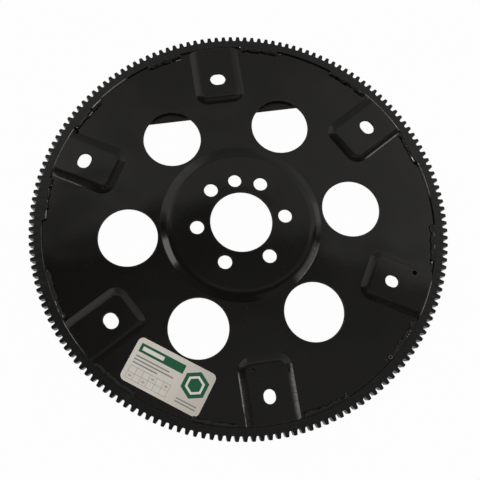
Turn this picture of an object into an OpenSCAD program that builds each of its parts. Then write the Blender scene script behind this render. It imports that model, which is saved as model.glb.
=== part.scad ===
// Flexplate: a pressed steel disc that joins a crankshaft to a torque converter,
// with a starter ring gear welded round it and a balance weight welded to its back.
// Lies on the ring gear's back face, front up. +Y runs through one of the six pads.
// Angles are counted from +Y, anticlockwise seen from the front.

/* [Ring gear] */
// Number of teeth
tooth_count = 168; // [162:2:180]
// Pitch diameter divided by the number of teeth
tooth_module = 2.1167; // [2.08:0.0001:2.2]
// How far the tooth tips stand outside the pitch circle
tooth_addendum = 1.1; // [0.6:0.1:1.8]
// Depth of the gap between two teeth
tooth_depth = 4.2; // [3.8:0.1:4.8]
// Width of a tooth at its tip
tooth_tip_w = 2.2; // [1.6:0.1:2.6]
// Slope of a tooth's flanks, in degrees
tooth_flank = 12; // [8:0.5:14]
// Rounding at the foot of a tooth
tooth_root_r = 0.9; // [0.5:0.05:1]
// Chamfer at both ends of the teeth
tooth_chamfer = 0.6; // [0.2:0.1:1]
// Turn of the nearest tooth from +Y, in degrees
tooth_turn = 0.7; // [0:0.05:2]
// Wall between the tooth gaps and the ring's bore
ring_wall = 6.6; // [5:0.1:8]
// Width of the ring along its axis
ring_w = 10.2; // [9.5:0.1:13]
// How far the ring's front face stands above the web
ring_proud = 1.7; // [1:0.1:2]
// Gap between the ring's bore and the edge of the disc
ring_fit = 0.05; // [0.02:0.01:0.12]

/* [Disc] */
// Thickness of the sheet
sheet_t = 3; // [2.4:0.1:3.4]
// Break of the punched edges on the front
edge_break = 0.6; // [0.2:0.1:1]
// Height of the hub above the web
hub_rise = 3.6; // [2:0.1:5]
// Radius of the hub's flat top
hub_flat_r = 58.3; // [54:0.1:60]
// Radial run of the step from hub to web
hub_run = 11; // [9:0.1:12]
// Rounding at the top of the hub's step
hub_crown_r = 16; // [6:0.5:18]
// Diameter of a window
window_d = 51; // [40:0.5:52]
// Diameter of the circle that the windows lie on
window_circle_d = 194.2; // [192:0.2:198]

/* [Crankshaft holes] */
// Diameter of the centre bore
bore_d = 53.6; // [45:0.1:56]
// Diameter of a bolt hole
crank_hole_d = 12.5; // [10:0.1:13]
// Diameter of the bolt circle
crank_circle_d = 76.2; // [74:0.1:90]
// Angles of the bolt hole pairs, on both sides of +Y
crank_angles = [34.7, 90, 150]; // [0:0.1:180]
// Diameter of the dowel hole on +Y
dowel_hole_d = 12; // [10:0.1:13]
// Diameter of the circle through the dowel hole
dowel_circle_d = 74.3; // [72:0.1:90]

/* [Converter pads] */
// Height of a pad above the web
pad_rise = 1.9; // [1.2:0.1:2.6]
// Width of a pad at its foot
pad_w = 44.5; // [40:0.5:50]
// Run of the step from a pad's flat top to the web
pad_run = 8; // [6:0.1:9]
// Rounding at the top of a pad's step
pad_crown_r = 16; // [6:0.5:17]
// Rounding of a pad's inner corners at its foot
pad_corner_r = 11; // [9:0.5:14]
// Distance of a pad's inner foot from the axis
pad_inner_r = 112.8; // [110:0.1:116]
// Diameter of the smaller bolt circle
small_circle_d = 273.05; // [266:0.05:284]
// Diameter of the larger bolt circle
large_circle_d = 292.1; // [286:0.05:302]
// Length of a bolt slot, around the axis
slot_l = 14.4; // [13:0.1:18]
// Width of a bolt slot
slot_w = 12; // [10:0.1:12.5]
// Length of a close hole, along the radius
close_l = 12.1; // [11:0.1:14]
// Width of a close hole
close_w = 10.5; // [9:0.1:10.8]

/* [Balance] */
// Radius of the weight's round edge
weight_r = 126; // [124:0.5:128]
// Width of the weight, from its straight edge to the middle of its round edge
weight_w = 22.4; // [19:0.1:23]
// Thickness of the weight
weight_t = 5; // [3.5:0.1:5.1]
// Diameter of the drilled balance mark
drill_d = 3.2; // [2:0.1:4]
// Depth of the drilled balance mark
drill_depth = 1.2; // [0.6:0.1:1.4]
// Distance of the drilled mark from the axis
drill_r = 153; // [148:0.5:158]
// Angle of the drilled mark
drill_angle = 245.3; // [244:0.1:246]

/* [Welds] */
// Leg of a ring weld along the web
bead_leg = 3.2; // [2.5:0.1:5]
// Leg of a rear ring weld along the ring
rear_bead_leg = 3.2; // [2:0.1:4]
// Crown of a weld above the straight line between its legs
bead_crown = 0.35; // [0.1:0.05:0.4]
// Length of a ring weld
bead_l = 38; // [20:1:44]
// Gap between a pad's foot and the weld beside it
bead_gap = 3; // [1:0.5:5]
// Leg of the welds that hold the weight
weight_bead_leg = 3.4; // [2:0.1:3.5]
// Length of the welds that hold the weight
weight_bead_l = 30; // [16:1:34]

/* [Label] */
// Length of the label, around the axis
label_l = 70; // [40:1:76]
// Width of the label, along the radius
label_w = 37; // [20:1:38]
// Rounding of the label's corners
label_corner_r = 4.5; // [2:0.5:8]
// Thickness of the label
label_t = 0.15; // [0.1:0.05:0.4]
// Angle of the label's middle
label_angle = 146.8; // [145:0.1:152]
// Turn of the label about its middle
label_turn = -2.15; // [-3:0.05:3]
// Gap between the label's outer corner and the welds
label_gap = 0.3; // [0.2:0.1:2]

/* [Hidden] */
$fn = 128;

// Overrun of a cutting shape past the face that it cuts
over = 0.5;
// Depth of the block whose top face is the pressed face of the disc
form_depth = 2 * sheet_t;
// Flat steps in the rounding at the foot of a tooth
root_steps = 2;
// Flat steps in the rounding at the top of a pressed step
crown_steps = 4;
// Half the point angle of the balance drill
drill_half_point = 59;

tip_r = tooth_module * tooth_count / 2 + tooth_addendum;
root_r = tip_r - tooth_depth;
ring_bore_r = root_r - ring_wall;
rim_r = ring_bore_r - ring_fit;

web_z = ring_w - ring_proud;
web_back_z = web_z - sheet_t;
hub_z = web_z + hub_rise;
pad_z = web_z + pad_rise;

// Raised pads, with a window midway between each two
pad_count = 6;
pad_step = 360 / pad_count;
// Pads whose holes lie on the larger circle, and pads with a close hole
large_circle_pads = [1, 3, 5];
close_hole_pads = [3, 4];

// Distance of the weight's straight edge from the axis
weight_edge = weight_r - weight_w;

// Angles at which the welds beside a pad and beside the weight's middle begin
bead_start = asin((pad_w / 2 + bead_gap) / rim_r);
weight_bead_start = asin((pad_w / 2 + bead_gap) / weight_r);

// Distance of the label's middle from the axis, set by its outermost corner
label_reach = rim_r - bead_leg - label_gap - label_corner_r;
label_half_l = label_l / 2 - label_corner_r;
label_half_w = label_w / 2 - label_corner_r;
corner_x = label_half_l * cos(label_turn) - label_half_w * sin(abs(label_turn));
corner_y = label_half_l * sin(abs(label_turn)) + label_half_w * cos(label_turn);
label_r = sqrt(label_reach ^ 2 - corner_x ^ 2) - corner_y;

black_paint = [0.10, 0.10, 0.105];
gear_black = [0.12, 0.125, 0.135];
weld_grey = [0.22, 0.215, 0.21];
label_silver = [0.78, 0.77, 0.73];

// Rounding that leaves at least a short straight flank between the top of a step and its foot
function crown_fit(run, rise, crown_r) = min(crown_r, 0.97 * (run ^ 2 + rise ^ 2) / (2 * rise));

// Slope of the straight flank that runs from the rounding at the top of a step to its foot
function flank_slope(run, rise, r) = asin(r / norm([run, r - rise])) - atan2(r - rise, run);

// Points of a pressed step: a rounded edge beside the flat top, then a flank down to height zero
function step_points(flat, run, rise, crown_r) =
    let (r = crown_fit(run, rise, crown_r), slope = flank_slope(run, rise, r))
    concat(
        [for (i = [0:crown_steps])
            let (a = slope * i / crown_steps)
            [flat + r * sin(a), rise - r * (1 - cos(a))]],
        [[flat + run, 0]]
    );

function has(list, item) = len([for (entry = list) if (entry == item) entry]) > 0;

function turned(p, a) = [p.x * cos(a) - p.y * sin(a), p.x * sin(a) + p.y * cos(a)];

// One side of a tooth on +Y, from the floor of the gap up to the tip
function tooth_side() =
    let (
        foot_y = root_r + tooth_root_r,
        foot_x = tooth_tip_w / 2 + (tip_r - foot_y) * tan(tooth_flank) + tooth_root_r / cos(tooth_flank)
    )
    concat(
        [for (i = [0:root_steps])
            let (a = 270 - (90 - tooth_flank) * i / root_steps)
            [foot_x + tooth_root_r * cos(a), foot_y + tooth_root_r * sin(a)]],
        [[tooth_tip_w / 2, tip_r]]
    );

function tooth_outline(side) =
    concat(side, [for (i = [len(side) - 1:-1:0]) [-side[i].x, side[i].y]]);

module pad_section(flat) {
    edge = step_points(flat, pad_run, pad_rise, pad_crown_r);
    polygon(concat([[0, pad_rise]], edge, [[flat + pad_run, -form_depth], [0, -form_depth]]));
}

// Raised pad on +Y, open at its outer end
module pad_form(outer) {
    corner_x = pad_w / 2 - pad_corner_r;
    corner_y = pad_inner_r + pad_corner_r;
    corner_flat = pad_corner_r - pad_run;
    for (side = [0, 1]) mirror([side, 0, 0]) {
        translate([0, outer, 0]) rotate([90, 0, 0])
            linear_extrude(outer - corner_y) pad_section(pad_w / 2 - pad_run);
        translate([corner_x, corner_y, 0]) rotate([0, 0, -90])
            rotate_extrude(angle = 90) pad_section(corner_flat);
    }
    translate([corner_x, corner_y, 0]) rotate([90, 0, -90])
        linear_extrude(2 * corner_x) pad_section(corner_flat);
}

// Block whose top is the pressed face, with the web at height zero
module pressed_form(rim) {
    edge = step_points(hub_flat_r, hub_run, hub_rise, hub_crown_r);
    rotate_extrude()
        polygon(concat([[0, hub_rise]], edge, [[rim, 0], [rim, -form_depth], [0, -form_depth]]));
    intersection() {
        for (i = [0:pad_count - 1]) rotate([0, 0, i * pad_step]) pad_form(rim + over);
        translate([0, 0, -form_depth - over]) cylinder(r = rim, h = form_depth + pad_rise + 2 * over);
    }
}

// Round punched hole with a broken front edge
module hole_cut(d, front_z) {
    translate([0, 0, front_z - sheet_t - over]) cylinder(d = d, h = sheet_t + 2 * over);
    translate([0, 0, front_z - edge_break])
        cylinder(d1 = d, d2 = d + 2 * (edge_break + over), h = edge_break + over);
}

// Punched slot along X with a broken front edge
module slot_cut(length, width, front_z) {
    straight = length - width;
    flare = width / 2 + edge_break + over;
    for (end = [-1, 1]) translate([end * straight / 2, 0, 0]) hole_cut(width, front_z);
    translate([0, 0, front_z]) rotate([90, 0, 90]) linear_extrude(straight, center = true) polygon([
        [-width / 2, -sheet_t - over], [width / 2, -sheet_t - over], [width / 2, -edge_break],
        [flare, over], [-flare, over], [-width / 2, -edge_break]
    ]);
}

module converter_hole(i) {
    circle_d = has(large_circle_pads, i) ? large_circle_d : small_circle_d;
    rotate([0, 0, i * pad_step]) translate([0, circle_d / 2, 0])
        if (has(close_hole_pads, i)) rotate([0, 0, 90]) slot_cut(close_l, close_w, pad_z);
        else slot_cut(slot_l, slot_w, pad_z);
}

module crank_holes() {
    hole_cut(bore_d, hub_z);
    translate([0, dowel_circle_d / 2, 0]) hole_cut(dowel_hole_d, hub_z);
    for (a = crank_angles, side = [-1, 1])
        rotate([0, 0, side * a]) translate([0, crank_circle_d / 2, 0]) hole_cut(crank_hole_d, hub_z);
}

module balance_drilling() {
    rotate([0, 0, drill_angle]) translate([0, drill_r, pad_z - drill_depth]) {
        cylinder(d = drill_d, h = drill_depth + over);
        point_h = drill_d / 2 / tan(drill_half_point);
        translate([0, 0, -point_h]) cylinder(d1 = 0, d2 = drill_d, h = point_h);
    }
}

// Section of a fillet weld in a corner at the origin, with legs along -X and +Y
module bead_section(leg_x, leg_y) {
    chord = norm([leg_x, leg_y]);
    arc_r = (chord ^ 2 / 4 + bead_crown ^ 2) / (2 * bead_crown);
    drop = arc_r - bead_crown;
    intersection() {
        translate([-leg_x / 2 + drop * leg_y / chord, leg_y / 2 - drop * leg_x / chord]) circle(arc_r);
        translate([-leg_x, 0]) square([leg_x, leg_y + bead_crown]);
    }
}

// Ring welds on one side of the web: one beside each side of every pad
module ring_beads(leg_z) {
    span = bead_l / rim_r * 180 / PI;
    for (i = [0:pad_count - 1], side = [0, 1])
        rotate([0, 0, 90 + i * pad_step]) mirror([0, side, 0]) rotate([0, 0, bead_start])
            rotate_extrude(angle = span) translate([ring_bore_r, 0]) bead_section(bead_leg, leg_z);
}

module ring_gear() {
    outline = tooth_outline(tooth_side());
    chamfer_run = tooth_chamfer + over;
    color(gear_black) intersection() {
        rotate([0, 0, tooth_turn]) translate([0, 0, -over]) linear_extrude(ring_w + 2 * over)
            polygon([for (k = [0:tooth_count - 1], p = outline) turned(p, k * 360 / tooth_count)]);
        rotate_extrude() polygon([
            [ring_bore_r, 0], [tip_r - tooth_chamfer, 0], [tip_r + over, chamfer_run],
            [tip_r + over, ring_w - chamfer_run], [tip_r - tooth_chamfer, ring_w], [ring_bore_r, ring_w]
        ]);
    }
}

module stamped_disc() {
    color(black_paint) difference() {
        translate([0, 0, web_z]) pressed_form(rim_r);
        translate([0, 0, web_back_z]) pressed_form(rim_r + over);
        crank_holes();
        for (i = [0:pad_count - 1]) rotate([0, 0, (i + 0.5) * pad_step])
            translate([0, window_circle_d / 2, 0]) hole_cut(window_d, web_z);
        for (i = [0:pad_count - 1]) converter_hole(i);
        balance_drilling();
    }
}

// Circle segment that lies against the back of the web
module balance_weight() {
    color(black_paint) translate([0, 0, web_back_z - weight_t]) linear_extrude(weight_t) intersection() {
        circle(weight_r);
        translate([-weight_r, weight_edge]) square([2 * weight_r, weight_r]);
    }
}

module front_ring_welds() {
    color(weld_grey) translate([0, 0, web_z]) ring_beads(ring_proud - bead_crown);
}

module rear_ring_welds() {
    color(weld_grey) translate([0, 0, web_back_z]) mirror([0, 0, 1]) ring_beads(rear_bead_leg);
}

// One weld along the weight's straight edge and one on each end of its round edge
module balance_weight_welds() {
    span = weight_bead_l / weight_r * 180 / PI;
    color(weld_grey) translate([0, 0, web_back_z]) mirror([0, 0, 1]) {
        translate([0, weight_edge, 0]) rotate([90, 0, 90])
            linear_extrude(weight_bead_l, center = true) bead_section(weight_bead_leg, weight_bead_leg);
        for (side = [0, 1]) mirror([side, 0, 0]) rotate([0, 0, 90 + weight_bead_start])
            rotate_extrude(angle = span) translate([weight_r, 0]) mirror([1, 0])
                bead_section(weight_bead_leg, weight_bead_leg);
    }
}

module label() {
    inner_l = 2 * label_half_l;
    inner_w = 2 * label_half_w;
    color(label_silver) rotate([0, 0, label_angle]) translate([0, label_r, web_z]) rotate([0, 0, label_turn])
        linear_extrude(label_t) {
            square([label_l, inner_w], center = true);
            square([inner_l, label_w], center = true);
            for (x = [-1, 1], y = [-1, 1]) translate([x * label_half_l, y * label_half_w]) circle(label_corner_r);
        }
}

ring_gear();
stamped_disc();
balance_weight();
front_ring_welds();
rear_ring_welds();
balance_weight_welds();
label();
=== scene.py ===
"""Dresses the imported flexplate: pressed disc, toothed ring, welds, balance weight and foil label."""
import logging
import math
from dataclasses import dataclass, field
from enum import Enum
from typing import Callable, Optional, Sequence, Union

import bmesh
import bpy
import numpy as np
from mathutils import Matrix, Vector
from mathutils.geometry import delaunay_2d_cdt


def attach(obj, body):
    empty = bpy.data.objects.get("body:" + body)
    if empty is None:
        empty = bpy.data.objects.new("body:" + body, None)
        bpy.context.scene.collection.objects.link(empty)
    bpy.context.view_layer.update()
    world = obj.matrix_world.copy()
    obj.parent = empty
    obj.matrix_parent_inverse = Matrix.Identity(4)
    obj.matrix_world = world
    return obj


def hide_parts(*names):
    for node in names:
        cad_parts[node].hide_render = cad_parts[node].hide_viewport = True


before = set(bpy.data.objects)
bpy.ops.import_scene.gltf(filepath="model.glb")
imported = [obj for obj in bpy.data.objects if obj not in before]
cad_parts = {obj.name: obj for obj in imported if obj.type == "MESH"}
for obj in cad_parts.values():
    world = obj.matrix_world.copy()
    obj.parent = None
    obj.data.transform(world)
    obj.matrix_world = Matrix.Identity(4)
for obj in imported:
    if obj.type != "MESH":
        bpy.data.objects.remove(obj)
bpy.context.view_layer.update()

LOG = logging.getLogger("flexplate")
MM = 0.001
BODY = "root"
# Values of the wall attribute: a punched edge, and a drilled spot, whose walls get painted shade
CUT_WALL = 1.0
PIT_SHADE_WALL = 2.0
Number = Union[float, int]
Array = np.ndarray


class Slot(Enum):
    """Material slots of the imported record."""

    PAINT = "black_paint"
    GEAR = "gear_steel"
    WEIGHT = "weight_steel"
    WELD = "weld_metal"
    LABEL = "label_foil"


# Shader graphs


class Socket:
    """One output of a shader node, with arithmetic that adds Math nodes."""

    def __init__(self, graph: "Graph", link: bpy.types.NodeSocket) -> None:
        """Keeps the graph and the node's output."""
        self.graph = graph
        self.link = link

    def math(self, operation: str, *others: "Value") -> "Socket":
        """Adds one Math node.

        Args:
            operation: The node's operation.
            others: The second and third values.

        Returns:
            The node's result.
        """
        return self.graph.node("ShaderNodeMath", {"operation": operation}, [self, *others])

    def __add__(self, other: "Value") -> "Socket":
        """self + other."""
        return self.math("ADD", other)

    __radd__ = __add__

    def __mul__(self, other: "Value") -> "Socket":
        """self * other."""
        return self.math("MULTIPLY", other)

    __rmul__ = __mul__

    def __sub__(self, other: "Value") -> "Socket":
        """self - other."""
        return self.math("SUBTRACT", other)

    def __rsub__(self, other: Number) -> "Socket":
        """other - self."""
        return self.graph.node("ShaderNodeMath", {"operation": "SUBTRACT"}, [other, self])

    def __neg__(self) -> "Socket":
        """-self."""
        return self * -1.0

    def __abs__(self) -> "Socket":
        """Size of self."""
        return self.math("ABSOLUTE")

    def above(self, low: Number, high: Number) -> "Socket":
        """Smooth step from 0 at low to 1 at high; low above high gives the falling step.

        Args:
            low: Value at which the step is 0.
            high: Value at which it is 1.

        Returns:
            The step.
        """
        settings = {"interpolation_type": "SMOOTHSTEP", "clamp": True}
        ends = (low, high, 0.0, 1.0) if low <= high else (high, low, 1.0, 0.0)
        return self.graph.node("ShaderNodeMapRange", settings, [self, *ends])

    def near(self, middle: Number, half: Number, soft: Number) -> "Socket":
        """1 within half of a middle value, falling to 0 over a soft margin."""
        return abs(self - middle).above(half + soft, half)

    def clamp(self) -> "Socket":
        """self kept between 0 and 1."""
        return self.graph.node("ShaderNodeMath", {"operation": "ADD", "use_clamp": True}, [self, 0.0])


Value = Union[Socket, float, int]
Colour = tuple[float, float, float]


class Graph:
    """A node tree that is filled from Python expressions."""

    def __init__(self, tree: bpy.types.NodeTree) -> None:
        """Empties the tree."""
        self.tree = tree
        tree.nodes.clear()

    def node(self, kind: str, settings: dict, inputs: Union[dict, Sequence],
             out: Union[int, str] = 0) -> Socket:
        """Adds one node.

        Args:
            kind: The node's type.
            settings: Its properties, set first.
            inputs: Values or links of its sockets, by index, by name or in order.
            out: The output to hand on.

        Returns:
            That output.
        """
        made = self.tree.nodes.new(kind)
        for key, value in settings.items():
            setattr(made, key, value)
        pairs = inputs.items() if isinstance(inputs, dict) else enumerate(inputs)
        for key, value in pairs:
            if isinstance(value, Socket):
                self.tree.links.new(value.link, made.inputs[key])
            else:
                made.inputs[key].default_value = value
        return Socket(self, made.outputs[out])

    def mix(self, factor: Value, low: Union[Socket, Colour], high: Union[Socket, Colour]) -> Socket:
        """Mixes two colours.

        Args:
            factor: Share of the second colour.
            low: The first colour.
            high: The second colour.

        Returns:
            The mixed colour.
        """
        settings = {"data_type": "RGBA"}
        first = low if isinstance(low, Socket) else (*low, 1.0)
        second = high if isinstance(high, Socket) else (*high, 1.0)
        return self.node("ShaderNodeMix", settings, {0: factor, 6: first, 7: second}, 2)

    def noise(self, place: Socket, scale: float, detail: float = 2.0, rough: float = 0.5) -> Socket:
        """Noise between about 0 and 1 on given coordinates."""
        inputs = {"Vector": place, "Scale": scale, "Detail": detail, "Roughness": rough}
        return self.node("ShaderNodeTexNoise", {}, inputs)

    def place(self) -> Socket:
        """Object coordinates in millimetres.

        Returns:
            The coordinates.
        """
        spot = self.node("ShaderNodeTexCoord", {}, {}, "Object")
        inputs = {"Vector": spot, "Scale": (1 / MM, 1 / MM, 1 / MM)}
        return self.node("ShaderNodeMapping", {"vector_type": "POINT"}, inputs)

    def parts(self, vector: Socket) -> tuple[Socket, Socket, Socket]:
        """The three numbers of a vector.

        Args:
            vector: The vector.

        Returns:
            Its x, y and z.
        """
        split = self.node("ShaderNodeSeparateXYZ", {}, [vector])
        outs = split.link.node.outputs
        return Socket(self, outs[0]), Socket(self, outs[1]), Socket(self, outs[2])

    def attribute(self, name: str) -> Socket:
        """A number that the mesh carries at its vertices."""
        return self.node("ShaderNodeAttribute", {"attribute_name": name}, {}, "Fac")

    def bump(self, height: Socket, distance: float, below: Optional[Socket] = None) -> Socket:
        """A normal from a height.

        Args:
            height: The height.
            distance: Size of the height's 0 to 1 in metres.
            below: The normal on which it is laid.

        Returns:
            The normal.
        """
        inputs: dict = {"Height": height, "Distance": distance, "Strength": 1.0}
        if below is not None:
            inputs["Normal"] = below
        return self.node("ShaderNodeBump", {}, inputs)

    def surface(self, shader: Socket, kind: str = "ShaderNodeOutputMaterial") -> None:
        """Links a shader to the output."""
        end = self.tree.nodes.new(kind)
        self.tree.links.new(shader.link, end.inputs["Surface"])


def new_material(name: str) -> tuple[bpy.types.Material, Graph]:
    """An empty node material and its graph.

    Args:
        name: The material's name.

    Returns:
        The material and its graph.
    """
    material = bpy.data.materials.new(name)
    material.use_nodes = True
    return material, Graph(material.node_tree)


@dataclass(frozen=True)
class PaintFinish:
    """Semi-gloss black paint over pressed steel."""

    name: str
    colour: Colour = (0.0032, 0.0028, 0.0024)
    edge_colour: Colour = (0.022, 0.016, 0.011)
    dust_colour: Colour = (0.06, 0.055, 0.05)
    bare_colour: Colour = (0.42, 0.415, 0.38)
    wall_colour: Colour = (0.035, 0.018, 0.01)
    # Painted shade: near black for the walls of the drilled spot
    pit_shade_colour: Colour = (0.001, 0.001, 0.001)
    gloss: float = 0.11

    def make(self) -> bpy.types.Material:
        """Builds the paint: orange peel, slow waves, dust, rubbed edges and draw marks; rust on cut walls
        and painted shade in the drilled spot.

        Returns:
            The material.
        """
        material, g = new_material(self.name)
        place = g.place()
        peel = g.noise(place, 0.55, 2.0, 0.5)
        waves = g.noise(place, 0.022, 1.0, 0.4)
        mottle = g.noise(place, 0.09, 4.0, 0.6)
        cells = {"Vector": place, "Scale": 0.24}
        specks = g.node("ShaderNodeTexVoronoi", {"feature": "F1"}, cells, "Distance")
        grains = specks.above(0.09, 0.04) * g.noise(place, 0.05, 1.0).above(0.5, 0.62)
        edge = g.attribute("edge") * g.noise(place, 0.5, 3.0).above(0.3, 0.62)
        drawn = g.attribute("drawn")
        streak = g.noise(g.node("ShaderNodeUVMap", {"uv_map": "pad"}, {}), 1.0, 5.0, 0.7)
        mark = (drawn * (streak.above(0.36, 0.62) * 0.7 + 0.3)).clamp()
        colour = g.mix((grains * 0.7).clamp(), self.colour, self.dust_colour)
        colour = g.mix((edge * 0.85).clamp(), colour, self.edge_colour)
        colour = g.mix(mark, colour, self.bare_colour)
        rough = self.gloss + (mottle - 0.5) * 0.06 + grains * 0.3 + edge * 0.2 + drawn * 0.32
        normal = g.bump(waves, 0.0011)
        normal = g.bump(peel, 0.00002, normal)
        normal = g.bump((drawn * 2.0).clamp() * streak, 0.0002, normal)
        inputs = {"Base Color": colour, "Roughness": rough, "Metallic": mark * 0.8, "Normal": normal}
        skin = g.node("ShaderNodeBsdfPrincipled", {}, inputs)
        wall = g.attribute("wall")
        rust = g.mix(mottle, self.wall_colour, self.colour)
        # Painted shade: the drilled spot's walls turn near black
        rust = g.mix((wall - CUT_WALL).clamp(), rust, self.pit_shade_colour)
        cut = g.node("ShaderNodeBsdfPrincipled", {}, {
            "Base Color": rust, "Roughness": 0.6 + (mottle - 0.5) * 0.2, "Specular IOR Level": 0.06})
        g.surface(g.node("ShaderNodeMixShader", {}, [wall.clamp(), skin, cut]))
        return material


@dataclass(frozen=True)
class GearFinish:
    """Blue-black heat-treated steel of the toothed ring."""

    name: str
    colour: Colour = (0.0044, 0.0046, 0.0046)
    # Lighter colour: rubbed wear on the edges, and painted sheen on the tooth sides
    wear_and_sheen: Colour = (0.1, 0.1, 0.102)
    steel: Colour = (0.85, 0.8, 0.73)
    gloss: float = 0.26

    def make(self) -> bpy.types.Material:
        """Builds the material: fine turned grain, blotches, lighter rubbed edges, and tooth sides lightened
        as painted sheen.

        Returns:
            The material.
        """
        material, g = new_material(self.name)
        place = g.place()
        blotch = g.noise(place, 0.12, 4.0, 0.6)
        grain = g.noise(place, 1.6, 3.0, 0.6)
        edge = g.attribute("edge") * (g.noise(place, 0.35, 3.0).above(0.35, 0.7) * 0.5 + 0.5)
        # Rubbed edges, and painted sheen on the tooth sides
        colour = g.mix((edge * 0.8).clamp(), self.colour, self.wear_and_sheen)
        colour = g.mix(blotch.above(0.55, 0.8) * 0.06, colour, self.wear_and_sheen)
        bare = g.attribute("bare") * (g.noise(place, 0.25, 3.0).above(0.25, 0.5) * 0.7 + 0.3)
        colour = g.mix(bare, colour, self.steel)
        rough = self.gloss + (blotch - 0.5) * 0.2 + edge * 0.1
        normal = g.bump(grain, 0.00002)
        inputs = {"Base Color": colour, "Roughness": rough, "Metallic": bare, "Normal": normal}
        g.surface(g.node("ShaderNodeBsdfPrincipled", {}, inputs))
        return material


@dataclass(frozen=True)
class WeldFinish:
    """Painted-over weld metal with bare flecks, and painted shade in its pits and along its toe."""

    name: str
    colour: Colour = (0.0042, 0.004, 0.0037)
    fleck: Colour = (0.85, 0.8, 0.73)
    rust: Colour = (0.014, 0.009, 0.006)
    # Painted shade: near black for the toe line, the pits and the crater floor
    shade_black: Colour = (0.0012, 0.0011, 0.001)
    gloss: float = 0.3

    def make(self) -> bpy.types.Material:
        """Builds the material: black skin, warm stains, bare metal where shine is above 0, painted shade
        where it is below 0 and along the toe.

        Returns:
            The material.
        """
        material, g = new_material(self.name)
        place = g.place()
        coarse = g.noise(place, 0.3, 4.0, 0.6)
        fine = g.noise(place, 1.1, 4.0, 0.6)
        toe = g.attribute("toe")
        shine = g.attribute("shine")
        bright = (fine.above(0.62, 0.7) * coarse.above(0.52, 0.62) * toe * 0.6).clamp()
        bare = bright.math("MAXIMUM", (shine * (fine.above(0.3, 0.6) * 0.6 + 0.4)).clamp())
        stain = coarse.above(0.45, 0.75)
        colour = g.mix(stain * 0.7, self.colour, self.rust)
        colour = g.mix(bare, colour, self.fleck)
        inputs = {"Base Color": colour, "Roughness": self.gloss + (coarse - 0.5) * 0.3,
                  "Metallic": bare, "Normal": g.bump(fine, 0.00015)}
        skin = g.node("ShaderNodeBsdfPrincipled", {}, inputs)
        # Painted shade: a rough near-black shader for the toe line, and where shine is below 0
        black = g.mix(coarse, self.shade_black, self.colour)
        burnt = g.node("ShaderNodeBsdfPrincipled", {}, {
            "Base Color": black, "Roughness": 0.7 + (coarse - 0.5) * 0.2, "Specular IOR Level": 0.03})
        # Where the painted shade goes: along the toe and where shine is below 0, but not on bare metal
        dark = (toe.above(0.6, 1.0) * (coarse.above(0.3, 0.55) * 0.7 + 0.2)).math("MAXIMUM", -shine)
        dark = (dark - bare * 2.0).clamp()
        g.surface(g.node("ShaderNodeMixShader", {}, [dark, skin, burnt]))
        return material


@dataclass(frozen=True)
class LabelFinish:
    """Printed foil: grey field, green panels and blank ruled boxes."""

    name: str
    length: float
    width: float
    field_colour: Colour = (0.73, 0.68, 0.61)
    # Painted shade towards the label's right end
    shade: Colour = (0.56, 0.51, 0.46)
    green: Colour = (0.01, 0.105, 0.045)
    ink: Colour = (0.13, 0.15, 0.12)
    pale: Colour = (0.82, 0.8, 0.75)

    def make(self) -> bpy.types.Material:
        """Builds the print from shapes in millimetres from the label's middle, with painted shade towards
        its right end.

        Returns:
            The material.
        """
        material, g = new_material(self.name)
        spot = g.node("ShaderNodeUVMap", {"uv_map": "face"}, {})
        u, v, _ = g.parts(spot)
        x = (u - 0.5) * self.length
        y = (v - 0.5) * self.width
        ink = self._rules(x, y)
        green, hole = self._badge(x, y)
        place = g.place()
        fade = g.noise(place, 0.05, 3.0)
        colour = g.mix(fade.above(0.35, 0.7) * 0.35, self.field_colour, self.pale)
        # Painted shade: the field darkens towards the label's right end
        colour = g.mix(x.above(-8.0, 34.0) * 0.7, colour, self.shade)
        colour = g.mix(ink, colour, self.ink)
        colour = g.mix(green, colour, self.green)
        colour = g.mix(hole, colour, self.pale)
        soft = g.noise(place, 0.04, 1.0)
        inputs = {"Base Color": colour, "Roughness": 0.34 + (fade - 0.5) * 0.2,
                  "Normal": g.bump(soft, 0.0006)}
        g.surface(g.node("ShaderNodeBsdfPrincipled", {}, inputs))
        return material

    @staticmethod
    def _box(x: Socket, y: Socket, middle: tuple[float, float], half: tuple[float, float]) -> Socket:
        """1 inside an upright box."""
        return x.near(middle[0], half[0], 0.12) * y.near(middle[1], half[1], 0.12)

    def _rules(self, x: Socket, y: Socket) -> Socket:
        """Grey ruled rows and a grid of blank boxes on the label's left half.

        Args:
            x: Place along the label in millimetres.
            y: Place across it.

        Returns:
            1 where there is ink.
        """
        grid_x = abs((x + 31.0).math("PINGPONG", 3.0)).above(0.2, 0.1)
        grid_y = abs((y + 15.5).math("PINGPONG", 2.6)).above(0.2, 0.1)
        inside = self._box(x, y, (-13.0, -10.3), (18.1, 5.3))
        ink = (grid_x + grid_y).clamp() * inside
        for row, reach in ((3.4, 15.0), (0.6, 17.5), (-2.2, 11.0)):
            ink = ink + self._box(x, y, (-31.0 + reach, row), (reach, 0.5))
        for row in (-11.5, -14.0):
            ink = ink + self._box(x, y, (22.0, row), (9.0, 0.45))
        for column, row in ((0, 0), (2, 0), (3, 1), (5, 1)):
            ink = ink + self._box(x, y, (-28.0 + 6.0 * column, -12.9 + 5.2 * row), (1.3, 0.8)) * 0.6
        return (ink * 0.8).clamp()

    def _badge(self, x: Socket, y: Socket) -> tuple[Socket, Socket]:
        """A green bar along the top and a green six-sided badge with a pale ring.

        Args:
            x: Place along the label in millimetres.
            y: Place across it.

        Returns:
            The green areas, and the pale ones in them.
        """
        bar = self._box(x, y, (-11.0, 10.6), (20.0, 3.6))
        window = self._box(x, y, (-19.0, 10.6), (9.5, 1.6))
        ax = abs(x - 22.0)
        ay = abs(y - 3.6)
        six = ax.math("MAXIMUM", ax * 0.5 + ay * 0.866)
        badge = six.above(10.1, 9.9)
        ring = six.above(7.1, 6.9) * six.above(5.1, 5.3)
        return (bar + badge).clamp(), (window + ring).clamp()


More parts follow.
